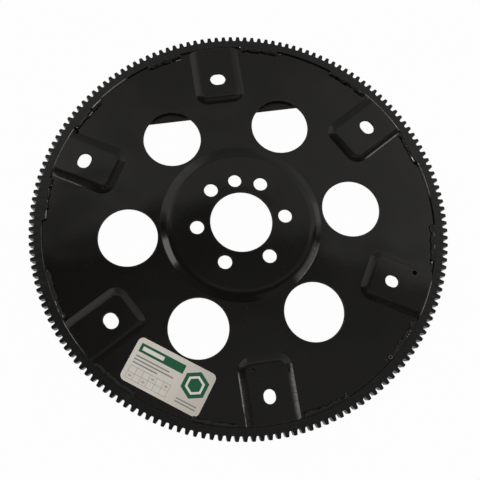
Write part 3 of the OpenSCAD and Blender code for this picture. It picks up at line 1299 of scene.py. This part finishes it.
    @staticmethod
    def _outward(points: Array, faces: Array) -> Array:
        """Turns all faces round if the closed shape's volume comes out negative.

        Args:
            points: Vertices, n by 3.
            faces: Corner numbers, m by 4.

        Returns:
            The faces, looking outwards.
        """
        a, b, c, d = (points[faces[:, k]] for k in range(4))
        volume = np.sum(np.cross(a, b) * c) + np.sum(np.cross(a, c) * d)
        return faces if volume > 0 else faces[:, ::-1]


@dataclass
class WeldBead:
    """One weld bead: a lumpy section carried along an arc or a straight line.

    The section is a quarter of a rounded box, or a half of one when both sides slope; shape is the
    power of its curve: 1 for an ellipse, less for a fuller bead. The toe strength sets the painted shade
    along its toe line.
    """

    corner: Callable[[Array], Array]
    side: Callable[[Array], Array]
    rise: Callable[[Array], Array]
    length: float
    leg: float
    height: float
    seed: int
    shape: float = 1.0
    both_sides: bool = False
    shine: float = 0.0
    # Strength of the painted shade along the toe line
    burnt: float = 1.0
    step: float = 0.45
    ripple_l: float = 1.5
    end_l: float = 2.6
    section_points: int = 9

    def build(self) -> tuple[Array, Array, Array, Array]:
        """Makes one bead.

        Returns:
            Points, faces, each point's nearness to the toe of the bead, and its shine.
        """
        count = max(12, int(self.length / self.step))
        t = np.linspace(0, 1, count)
        rng = np.random.default_rng(self.seed)
        lump = self._smooth(rng.normal(size=(count, self.section_points)), 2.2)
        broad = self._smooth(rng.normal(size=(count, 1)), 6.0)
        ripple = np.abs(np.sin(np.pi * t * self.length / self.ripple_l + rng.uniform(0, 3)))[:, None]
        end = min(self.end_l, self.length / 3)
        taper = np.clip(np.minimum(t, 1 - t) * self.length / end, 0, 1)
        taper = np.sqrt(np.clip(1 - (1 - taper) ** 2, 0.0, 1))[:, None] * 0.97 + 0.03
        a = np.linspace(-np.pi / 2 if self.both_sides else 0.0, np.pi / 2, self.section_points)[None]
        away = np.sign(a) * np.abs(np.sin(a)) ** self.shape
        tall = np.cos(a).clip(0, 1) ** self.shape
        reach = self.leg * (1 + 0.14 * broad + 0.1 * lump) * taper
        fall = self.height * (0.1 * np.abs(broad) + 0.12 * np.abs(lump) + 0.1 * ripple) * np.abs(np.sin(a))
        x = reach * away + 0.12 * ripple * np.sin(a) * taper * min(1.0, self.leg)
        z = (self.height * (0.25 + 0.75 * taper) - fall) * tall
        base, out, up = self.corner(t), self.side(t), self.rise(t)
        cap = base[:, None] + out[:, None] * x[..., None] + up[:, None] * z[..., None]
        heel = base - out * 0.05 - up * 0.02
        rows = np.concatenate([cap, heel[:, None]], axis=1)
        points = rows.reshape(-1, 3)
        faces = grid_faces(count, rows.shape[1], False)
        ring = rows.shape[1]
        lids = np.array([[0, k, k + 1, -1] for k in range(1, ring - 1)])
        far = lids.copy()
        far[:, :3] = lids[:, [0, 2, 1]] + (count - 1) * ring
        # Painted shade along the toe, none on a bead whose two sides slope
        burnt = 0.0 if self.both_sides else self.burnt
        toe = np.tile(np.append(np.sin(a[0]) ** 4, 0.0), count) * burnt
        return points, np.vstack([faces, lids, far]), toe, np.full(len(points), self.shine)

    @staticmethod
    def _smooth(values: Array, width: float) -> Array:
        """Random rows smoothed along the bead to about unit spread.

        Args:
            values: Random numbers, one row for each section.
            width: Spread of the bell curve in sections.

        Returns:
            The smoothed numbers.
        """
        span = np.arange(-int(3 * width), int(3 * width) + 1)
        bell = np.exp(-0.5 * (span / width) ** 2)
        bell /= math.sqrt(np.sum(bell ** 2))
        padded = np.pad(values, ((len(span) // 2, len(span) // 2), (0, 0)), mode="wrap")
        return np.stack([np.convolve(column, bell, "valid") for column in padded.T], axis=1)


def arc_bead(radius: float, z: float, start: float, finish: float, inward: float, up: float,
             leg: float, height: float, seed: int, **looks: Union[float, bool]) -> WeldBead:
    """A bead in a round corner.

    Args:
        radius: Distance of the corner line from the axis.
        z: Its height.
        start: Start in degrees.
        finish: End in degrees.
        inward: 1 where the flat leg runs towards the axis, -1 away from it.
        up: 1 where the upright leg rises, -1 where it drops.
        leg: Length of the flat leg.
        height: Length of the upright leg.
        seed: Seed of the lumps.
        looks: The bead's shape, sides, shine and the painted shade along its toe.

    Returns:
        The bead.
    """

    def angle(t: Array) -> Array:
        """Angle along the bead."""
        return start + (finish - start) * t

    def corner(t: Array) -> Array:
        """Corner line of the fillet."""
        return np.column_stack([radius * ray(angle(t)), np.full(len(t), z)])

    def side(t: Array) -> Array:
        """Way of the flat leg."""
        return np.column_stack([-inward * ray(angle(t)), np.zeros(len(t))])

    def rise(t: Array) -> Array:
        """Way of the upright leg."""
        return np.column_stack([np.zeros((len(t), 2)), np.full(len(t), up)])

    length = abs(finish - start) * math.pi / 180 * radius
    return WeldBead(corner, side, rise, length, leg, height, seed, **looks)


def line_bead(start: Sequence[float], finish: Sequence[float], side_way: Sequence[float], up: float,
              leg: float, height: float, seed: int) -> WeldBead:
    """A bead in a straight corner.

    Args:
        start: Start of the corner line.
        finish: Its end.
        side_way: Way of the flat leg.
        up: 1 where the upright leg rises, -1 where it drops.
        leg: Length of the flat leg.
        height: Length of the upright leg.
        seed: Seed of the lumps.

    Returns:
        The bead.
    """
    a, b = np.asarray(start, float), np.asarray(finish, float)

    def corner(t: Array) -> Array:
        """Corner line of the fillet."""
        return a[None] + (b - a)[None] * t[:, None]

    def side(t: Array) -> Array:
        """Way of the flat leg."""
        return np.broadcast_to(np.asarray(side_way, float), (len(t), 3))

    def rise(t: Array) -> Array:
        """Way of the upright leg."""
        return np.broadcast_to(np.array([0.0, 0.0, up]), (len(t), 3))

    return WeldBead(corner, side, rise, float(np.linalg.norm(b - a)), leg, height, seed)


@dataclass
class Spatter:
    """A drop of weld metal that froze on the sheet; a hollow one is a burst bubble with a raised rim and
    painted shade on its floor.
    """

    middle: tuple[float, float, float]
    radius: float
    shine: float = 0.0
    hollow: bool = False
    columns: int = 12

    def build(self) -> tuple[Array, Array, Array, Array]:
        """Rings of points from the foot inwards, for a low dome or a crater, with a lid and a base.

        Returns:
            Points, faces, toe values and shine.
        """
        if self.hollow:
            out = np.array([1.0, 0.92, 0.82, 0.7, 0.56, 0.3])
            tall = np.array([0.0, 0.24, 0.3, 0.24, 0.05, 0.02])
            # Painted shade on the crater floor: the two inner rings take shine -1
            glow = np.array([0.0, 0.25, 0.4, 0.15, -1.0, -1.0])
        else:
            lift = np.radians(np.array([0.0, 30.0, 58.0, 80.0]))
            out, tall, glow = np.cos(lift), np.sin(lift) * 0.75, np.full(4, self.shine)
        turn = np.linspace(0, 2 * np.pi, self.columns, endpoint=False)
        flat = np.stack([np.cos(turn), np.sin(turn)], axis=-1)
        wide = flat[None] * out[:, None, None]
        high = np.broadcast_to(tall[:, None, None], (len(out), self.columns, 1))
        points = np.concatenate([wide, high], axis=-1).reshape(-1, 3) * self.radius
        fan = np.arange(1, self.columns - 1)
        none = np.full(len(fan), -1)
        last = (len(out) - 1) * self.columns
        lid = np.column_stack([np.full(len(fan), last), last + fan, last + fan + 1, none])
        base = np.column_stack([np.zeros(len(fan), int), fan + 1, fan, none])
        faces = np.vstack([grid_faces(len(out), self.columns, False), lid, base])
        shine = np.repeat(glow, self.columns)
        return points + np.array(self.middle), faces, np.zeros(len(points)), shine


def weld_piece(name: str, node: str, beads: Sequence[Union[WeldBead, Spatter]],
               material: bpy.types.Material) -> bpy.types.Object:
    """Joins beads into one piece that stands for a node.

    Args:
        name: The piece's name.
        node: The CAD node that it stands for.
        beads: Beads and drops.
        material: The weld metal.

    Returns:
        The piece.
    """
    points: list[Array] = []
    faces: list[Array] = []
    toes: list[Array] = []
    shines: list[Array] = []
    first = 0
    for bead in beads:
        spots, sides, toe, shine = bead.build()
        points.append(spots)
        faces.append(np.where(sides < 0, -1, sides + first))
        toes.append(toe)
        shines.append(shine)
        first += len(spots)
    attributes = {"toe": np.concatenate(toes), "shine": np.concatenate(shines)}
    piece = put_mesh(name, np.vstack(points), np.vstack(faces), material, None, attributes)
    face_out(piece)
    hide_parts(node)
    return piece


def face_out(piece: bpy.types.Object) -> None:
    """Merges doubles and turns all faces outwards.

    Args:
        piece: The piece.
    """
    form = bmesh.new()
    form.from_mesh(piece.data)
    bmesh.ops.remove_doubles(form, verts=form.verts[:], dist=1e-6)
    bmesh.ops.recalc_face_normals(form, faces=form.faces[:])
    form.to_mesh(piece.data)
    form.free()


@dataclass
class Welds:
    """All welds: ring to disc at front and rear, and the balance weight's three beads."""

    rim_r: float
    web_z: float
    sheet_t: float
    ring_w: float
    weight_r: float
    weight_edge: float
    front_spans: tuple[tuple[float, float], ...] = (
        (10.2, 21.6), (39.6, 51.4), (68.4, 82.1), (96.7, 112.0), (126.6, 140.7), (157.0, 170.3),
        (-20.7, -8.6), (-51.6, -38.0), (-79.1, -67.6), (-110.0, -98.1), (-142.1, -128.4), (-171.5, -157.8))
    front_leg: float = 3.2
    rear_leg: float = 3.2
    weight_leg: float = 3.2
    weight_bead_l: float = 30.0
    weight_bead_start: float = 11.6
    # How far the front beads lap over the ring and stand above its face
    lap: float = 0.6
    proud: float = 0.06
    fullness: float = 0.62
    # Angles between which the front beads have full painted shade along the toe, and its strength elsewhere
    burnt_span: tuple[float, float] = (-112.0, 95.0)
    faint_toe: float = 0.66
    # How far each kind of shape sinks into what carries it; a speck by a share of its radius
    bead_sink: float = 0.02
    drop_sink: float = 0.05
    speck_sink: float = 0.35
    streak_sink: float = 0.12
    burst_sink: float = 0.25
    streak_h: float = 0.34
    # Seeds of the lumps of each kind's first bead
    front_seed: int = 11
    rear_seed: int = 31
    weight_seed: int = 51
    streak_seed: int = 71
    # Loose drops on the sheet: place and radius
    drops: tuple[tuple[float, float, float], ...] = (
        (-6.0, 162.0, 0.55), (-22.0, 128.0, 0.5), (-147.0, 62.0, 0.7), (-141.0, 78.0, 0.5),
        (150.0, 52.0, 0.6), (155.0, 24.0, 0.5), (159.0, -38.0, 0.6), (-158.0, 12.0, 0.55),
        (112.0, -113.0, 0.5), (38.0, 154.0, 0.5), (141.8, -84.2, 0.45), (133.9, -89.0, 0.6))
    # Drops on the beads: distance from the axis, angle, radius and shine; painted shade of a pit where the
    # shine is below 0
    specks: tuple[tuple[float, float, float, float], ...] = (
        (168.0, -8.6, 0.8, 0.9), (166.2, -21.5, 0.5, 0.6), (166.5, 51.2, 0.5, 1.0),
        (167.8, 51.6, 1.3, -1.0), (165.2, 51.9, 1.2, -1.0), (167.6, 43.9, 1.0, -1.0),
        (165.7, 43.9, 0.9, -1.0), (166.9, -131.9, 0.4, 0.8), (167.2, -133.0, 0.4, 0.8),
        (167.1, -133.8, 0.35, 0.7), (166.3, -110.1, 0.65, 1.0), (165.2, -109.2, 0.8, -1.0),
        (166.0, -158.5, 0.6, 0.2), (164.7, -158.1, 0.5, 0.15), (164.8, -171.2, 0.9, -1.0),
        (165.6, -41.0, 1.0, -1.0), (165.9, -44.6, 1.1, -1.0), (165.4, -48.4, 0.9, -1.0),
        (166.6, -46.5, 0.7, 0.12), (164.4, 12.0, 0.45, 0.7), (164.0, 14.0, 0.4, 0.6),
        (166.5, -78.3, 1.1, -1.0), (164.9, -142.9, 0.4, 0.3), (165.2, 70.9, 0.5, 0.5),
        (166.6, 72.4, 0.5, 0.4), (165.5, 75.9, 0.45, 0.6), (166.1, -110.3, 0.6, 1.0),
        (166.6, 97.0, 0.6, 0.2))
    # Bare streaks on the beads: distance from the axis, start, end, width and shine
    streaks: tuple[tuple[float, float, float, float, float], ...] = (
        (167.4, 39.5, 43.4, 0.8, 1.0), (165.0, 42.8, 46.0, 0.8, 0.9), (166.3, 46.4, 50.2, 0.6, 0.12),
        (165.4, -77.9, -76.0, 1.0, 1.0), (168.0, -79.5, -78.7, 0.9, 0.8),
        (167.0, -102.2, -100.8, 1.4, 0.1), (167.3, -105.9, -104.5, 1.4, 0.12),
        (163.9, 10.6, 12.4, 0.6, 0.7), (167.2, -50.4, -49.0, 0.7, 0.15),
        (165.3, 78.5, 81.4, 1.1, 0.3), (167.6, 105.8, 107.3, 0.5, 0.7), (167.9, 108.0, 109.3, 0.4, 0.6),
        (166.8, 110.2, 111.2, 0.45, 0.7))
    # The burst bubble: distance from the axis, angle and radius
    burst: tuple[float, float, float] = (165.7, -141.5, 1.7)

    def bead_top(self, radius: float) -> float:
        """Height of a front bead's surface: the rounded box of its section, at a distance from the axis.

        Args:
            radius: Distance from the axis.

        Returns:
            The height.
        """
        across_bead = np.clip((self.rim_r + self.lap - radius) / (self.front_leg + self.lap), 0, 1)
        power = 2 / self.fullness
        return self.web_z + self.front_rise * (1 - across_bead ** power) ** (1 / power)

    @property
    def front_rise(self) -> float:
        """Height of a front bead above the web: just over the ring's face."""
        return self.ring_w - self.web_z + self.proud

    def _marks(self) -> list[Union[WeldBead, Spatter]]:
        """Drops, bare streaks and the burst bubble on the front beads.

        Returns:
            The small shapes.
        """
        made: list[Union[WeldBead, Spatter]] = []
        for radius, angle, size, shine in self.specks:
            x, y = radius * ray(angle)
            made.append(Spatter((x, y, self.bead_top(radius) - self.speck_sink * size), size, shine))
        for k, (radius, start, finish, width, shine) in enumerate(self.streaks):
            z = self.bead_top(radius) - self.streak_sink
            made.append(arc_bead(radius, z, start, finish, 1.0, 1.0, width / 2, self.streak_h,
                                 self.streak_seed + k, both_sides=True, shine=shine))
        radius, angle, size = self.burst
        x, y = radius * ray(angle)
        made.append(Spatter((x, y, self.bead_top(radius) - self.burst_sink), size, hollow=True))
        return made

    def build(self, material: bpy.types.Material,
              height: Callable[[Array], Array]) -> list[bpy.types.Object]:
        """Makes the three weld pieces.

        Args:
            material: The weld metal.
            height: Front height of the disc, on which the drops sit.

        Returns:
            The pieces.
        """
        places = np.array([[x, y] for x, y, _ in self.drops])
        drops = [Spatter((x, y, float(z) - self.drop_sink), size)
                 for (x, y, size), z in zip(self.drops, height(places))]
        low, high = self.burnt_span
        sink = self.bead_sink
        front = [arc_bead(self.rim_r + self.lap, self.web_z - sink, a, b, 1.0, 1.0,
                          self.front_leg + self.lap, self.front_rise + sink, self.front_seed + k,
                          shape=self.fullness, burnt=1.0 if low < (a + b) / 2 < high else self.faint_toe)
                 for k, (a, b) in enumerate(self.front_spans)]
        back_z = self.web_z - self.sheet_t + sink
        rear = [arc_bead(self.rim_r + sink, back_z, a, b, 1.0, -1.0, self.rear_leg, self.rear_leg,
                         self.rear_seed + k)
                for k, (a, b) in enumerate(self.front_spans)]
        half = self.weight_bead_l / 2
        first = self.weight_bead_start
        last = first + math.degrees(self.weight_bead_l / self.weight_r)
        leg = self.weight_leg
        weight = [line_bead((-half, self.weight_edge, back_z), (half, self.weight_edge, back_z),
                            (0.0, -1.0, 0.0), -1.0, leg, leg, self.weight_seed)]
        weight += [arc_bead(self.weight_r, back_z, side * first, side * last, -1.0, -1.0, leg, leg,
                            self.weight_seed + 1 + side) for side in (-1, 1)]
        front += drops + self._marks()
        return [weld_piece("front_ring_weld_beads", "front_ring_welds", front, material),
                weld_piece("rear_ring_weld_beads", "rear_ring_welds", rear, material),
                weld_piece("balance_weight_weld_beads", "balance_weight_welds", weight, material)]


@dataclass(frozen=True)
class SoftBox:
    """A soft-edged panel of light far off, given by its direction and half angles in degrees."""

    azimuth: float
    elevation: float
    half_across: float
    half_up: float
    soft: float
    glow: float

    def weight(self, g: Graph, way: Socket) -> Socket:
        """How much of the panel shows in a direction: its angles across and up, each with a soft edge.

        Args:
            g: The world's graph.
            way: The direction.

        Returns:
            The share, 0 to 1.
        """
        a, e = math.radians(self.azimuth), math.radians(self.elevation)
        front = (math.cos(e) * math.cos(a), math.cos(e) * math.sin(a), math.sin(e))
        right = (-math.sin(a), math.cos(a), 0.0)
        up = (-math.sin(e) * math.cos(a), -math.sin(e) * math.sin(a), math.cos(e))
        dots = [g.node("ShaderNodeVectorMath", {"operation": "DOT_PRODUCT"}, [way, v], "Value")
                for v in (front, right, up)]
        turn = dots[1].math("ARCTAN2", dots[0])
        lift = dots[2].math("ARCSINE")
        soft = math.radians(self.soft)
        wide = turn.near(0.0, math.radians(self.half_across), soft)
        return wide * lift.near(0.0, math.radians(self.half_up), soft)


@dataclass
class Studio:
    """Camera, floor and soft studio light."""

    eye: tuple[float, float, float] = (-64.44, -140.25, 510.83)
    right: tuple[float, float, float] = (0.98799, -0.14691, 0.04784)
    down: tuple[float, float, float] = (-0.13018, -0.95829, -0.25442)
    ahead: tuple[float, float, float] = (0.08322, 0.24513, -0.96591)
    focal_px: float = 613.085
    middle_px: float = 218.924
    frame_px: float = 480.0
    sensor: float = 36.0
    floor_reach: float = 2500.0
    floor_z: float = -0.05
    fill_power: float = 1.2
    fill_spread: float = 60.0
    fill_tilt: tuple[float, float] = (12.0, -8.0)
    base_glow: float = 0.08
    sky_glow: float = 0.37
    overhead: SoftBox = SoftBox(-15, 75, 18, 14, 18, 0.2)
    boxes: tuple[SoftBox, ...] = (
        SoftBox(127, 37, 18, 16, 5, 0.22),
        SoftBox(178, 35, 8.2, 10, 1.5, 2.7),
        SoftBox(-18, 29, 8.5, 12, 7, 0.4),
        SoftBox(12, 19, 8, 9, 5, 0.45),
        SoftBox(26, 17, 10, 9, 14, 0.12),
        SoftBox(36, 44, 12, 12, 12, 0.07),
        SoftBox(-50, 36, 12, 10, 12, 0.15),
        SoftBox(-150, 41, 14, 8, 10, 0.05),
    )

    def build(self) -> None:
        """Makes the camera, the floor, the world and the fill lamp."""
        self._camera()
        self._floor()
        self._world()
        self._fill()
        bpy.context.scene.view_settings.view_transform = "Standard"

    def _camera(self) -> None:
        """Places the camera; its axes are right, up and back."""
        data = bpy.data.cameras.new("camera")
        data.sensor_width = self.sensor
        data.lens = self.focal_px / self.frame_px * self.sensor
        data.shift_x = (self.frame_px / 2 - self.middle_px) / self.frame_px
        data.clip_start = 0.01
        data.clip_end = 50.0
        camera = bpy.data.objects.new("camera", data)
        axes = Matrix((self.right, -Vector(self.down), -Vector(self.ahead))).transposed()
        camera.matrix_world = Matrix.Translation(Vector(self.eye) * MM) @ axes.to_4x4()
        bpy.context.scene.collection.objects.link(camera)
        bpy.context.scene.camera = camera

    def _floor(self) -> None:
        """A wide plain floor under the object."""
        corners = np.array([[-1, -1], [1, -1], [1, 1], [-1, 1]]) * self.floor_reach
        points = np.column_stack([corners, np.full(len(corners), self.floor_z)])
        floor = put_mesh("floor", points, np.array([[0, 1, 2, 3]]), FloorFinish("floor_white").make())

    def _world(self) -> None:
        """White to the camera; otherwise a dim room with a pale side and soft panels."""
        world = bpy.data.worlds.new("studio")
        world.use_nodes = True
        bpy.context.scene.world = world
        g = Graph(world.node_tree)
        way = g.node("ShaderNodeTexCoord", {}, {}, "Generated")
        east, north, _ = g.parts(way)
        # The pale side's brightness: dimmer far north, brighter to the east and west, dark low in the west
        level = self.sky_glow - north.above(0.36, 0.5) * 0.14 - north.above(0.75, 1.0) * 0.1
        level = level + east.above(0.25, 0.45) * 0.06 + east.above(0.02, -0.2) * 0.2
        west = east.above(-0.05, -0.12)
        level = level - west * north.above(0.365, 0.335) * 0.3
        # Its lower edge, which drops to the east, and the slanting edge that cuts it off in the west
        edge = north + (east - 0.12).math("MAXIMUM", 0.0).math("MINIMUM", 0.25) * 0.65 + west * 0.03
        sky = edge.above(0.27, 0.32) * (east * 0.559 + north * 0.829).above(-0.03, 0.04)
        glow = self.base_glow + sky * level
        # The overhead panel shows only in a band below the pale side
        low_sky = north.above(-0.28, -0.06) * north.above(0.3, 0.02)
        glow = glow + self.overhead.weight(g, way) * self.overhead.glow * low_sky
        for box in self.boxes:
            glow = glow + box.weight(g, way) * box.glow
        path = g.node("ShaderNodeLightPath", {}, {}, "Is Camera Ray")
        light = g.node("ShaderNodeBackground", {}, {"Color": (1.0, 0.98, 0.96, 1.0), "Strength": glow})
        white = g.node("ShaderNodeBackground", {}, {"Color": (1.0, 1.0, 1.0, 1.0), "Strength": 1.0})
        g.surface(g.node("ShaderNodeMixShader", {}, [path, light, white]), "ShaderNodeOutputWorld")

    def _fill(self) -> None:
        """A broad overhead lamp that lights the pale print and the floor but makes no glint."""
        data = bpy.data.lights.new("fill", "SUN")
        data.energy = self.fill_power
        data.angle = math.radians(self.fill_spread)
        lamp = bpy.data.objects.new("fill", data)
        lamp.rotation_euler = (math.radians(self.fill_tilt[0]), math.radians(self.fill_tilt[1]), 0)
        lamp.visible_glossy = False
        bpy.context.scene.collection.objects.link(lamp)


@dataclass
class BalanceWeight:
    """Flat segment behind the two upper windows: straight inner edge, round outer edge."""

    edge_y: float
    outer_r: float
    top_z: float
    thickness: float
    lip: float = 0.25
    arc_points: int = 65
    chord_points: int = 22
    # Limit on how far the sharp corners' edges are stretched inwards
    corner_limit: float = 0.35
    streak_scale: float = 0.1

    def build(self, material: bpy.types.Material) -> bpy.types.Object:
        """Makes the segment as a flat sheet with rounded edges.

        Args:
            material: The paint.

        Returns:
            The piece.
        """
        half = math.sqrt(self.outer_r ** 2 - self.edge_y ** 2)
        limit = math.degrees(math.asin(half / self.outer_r))
        turn = np.linspace(-limit, limit, self.arc_points)
        arc = self.outer_r * ray(turn)
        chord_x = np.linspace(arc[-1, 0], arc[0, 0], self.chord_points + 2)[1:-1]
        chord = np.column_stack([chord_x, np.full(self.chord_points, self.edge_y)])
        inward = np.array([[0.0, 1.0]])
        into = np.vstack([-ray(turn), np.tile(inward, (self.chord_points, 1))])
        for k in (0, self.arc_points - 1):
            bend = unit(-ray(turn[k])[None] + inward)[0]
            into[k] = bend / max(np.dot(bend, inward[0]), self.corner_limit)
        outline = Outline(np.vstack([arc, chord]), into)
        sheet = Sheet([outline], lambda p: np.full(len(p), self.top_z), self.thickness, self.lip)
        made, faces, normals, near, wall = sheet.build()
        attributes = {"edge": near, "wall": wall, "drawn": np.zeros(len(made))}
        piece = put_mesh("balance_weight_skin", made, faces, material, normals, attributes)
        corners, _ = corner_numbers(piece)
        put_uv(piece, "pad", made[corners, :2] * self.streak_scale)
        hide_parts("balance_weight")
        return piece


@dataclass
class FoilLabel:
    """Thin label with round corners, stuck on the web."""

    base_z: float
    top_z: float
    length: float = 70.0
    width: float = 37.0
    corner_r: float = 4.5
    lip: float = 0.06
    margin: float = 0.6
    # Middle of the label: angle and distance from the axis; turn is its own further turn
    angle: float = 146.8
    radius: float = 142.09
    turn: float = -2.15

    def build(self, material: bpy.types.Material) -> bpy.types.Object:
        """Makes the label with a UV map over its face.

        Args:
            material: The printed foil.

        Returns:
            The piece.
        """
        turn = np.linspace(0, 90, 9)
        out = np.concatenate([ray(turn + q) for q in (0, 90, 180, 270)])
        sign = np.repeat(np.array([[-1, 1], [-1, -1], [1, -1], [1, 1]]), len(turn), axis=0)
        inner = np.array([self.length / 2 - self.corner_r, self.width / 2 - self.corner_r])
        local = sign * inner + out * self.corner_r
        middle = self.radius * ray(self.angle)
        right, up = -across(self.angle + self.turn), -ray(self.angle + self.turn)
        points = middle + local[:, :1] * right + local[:, 1:] * up
        into = -(out[:, :1] * right + out[:, 1:] * up)
        sheet = Sheet([Outline(points, into)], lambda p: np.full(len(p), self.top_z),
                      self.top_z - self.base_z, self.lip, self.margin, lip_rows=2)
        made, faces, normals, _, _ = sheet.build()
        piece = put_mesh("label_skin", made, faces, material, normals)
        corners, _ = corner_numbers(piece)
        spot = made[corners, :2] - middle
        u = spot @ right / self.length + 0.5
        v = spot @ up / self.width + 0.5
        put_uv(piece, "face", np.column_stack([u, v]))
        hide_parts("label")
        return piece


def node_points(node: str) -> Array:
    """A CAD node's vertices in millimetres.

    Args:
        node: The node's name.

    Returns:
        Its vertices, n by 3.
    """
    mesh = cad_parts[node].data
    flat = np.empty(len(mesh.vertices) * 3)
    mesh.vertices.foreach_get("co", flat)
    return flat.reshape(-1, 3) / MM


def node_span(node: str) -> tuple[float, float, float, float]:
    """How far a node reaches.

    Args:
        node: The node's name.

    Returns:
        Least and greatest distance from the axis, and lowest and highest point.
    """
    points = node_points(node)
    radius = np.hypot(points[:, 0], points[:, 1])
    return radius.min(), radius.max(), points[:, 2].min(), points[:, 2].max()


def main() -> None:
    """Builds the studio and every piece in order."""
    logging.basicConfig(level=logging.INFO)
    Studio().build()
    bore_r, tip_r, _, ring_w = node_span("ring_gear")
    _, rim_r, _, hub_z = node_span("stamped_disc")
    weight_edge = node_points("balance_weight")[:, 1].min()
    _, weight_r, weight_low, weight_top = node_span("balance_weight")
    _, _, label_low, label_top = node_span("label")
    paint = PaintFinish("black_paint").make()
    weld = WeldFinish("weld_metal").make()
    dull_paint = PaintFinish("weight_paint", edge_colour=(0.012, 0.008, 0.006), gloss=0.45)
    disc = StampedDisc(rim_r, hub_z - StampedDisc.hub.rise)
    weight = BalanceWeight(weight_edge, weight_r, weight_top, weight_top - weight_low)
    label = FoilLabel(label_low, label_top)
    welds = Welds(rim_r, disc.web_z, disc.sheet_t, ring_w, weight_r, weight_edge)
    pieces = [
        disc.build(paint),
        ToothedRing(tip_r, bore_r, ring_w).build(GearFinish("gear_steel").make()),
        weight.build(dull_paint.make()),
        label.build(LabelFinish("label_foil", label.length, label.width).make()),
        *welds.build(weld, disc.height),
    ]
    for piece in pieces:
        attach(piece, BODY)
        LOG.info("%s: %d vertices", piece.name, len(piece.data.vertices))


if __name__ == "__main__":
    main()
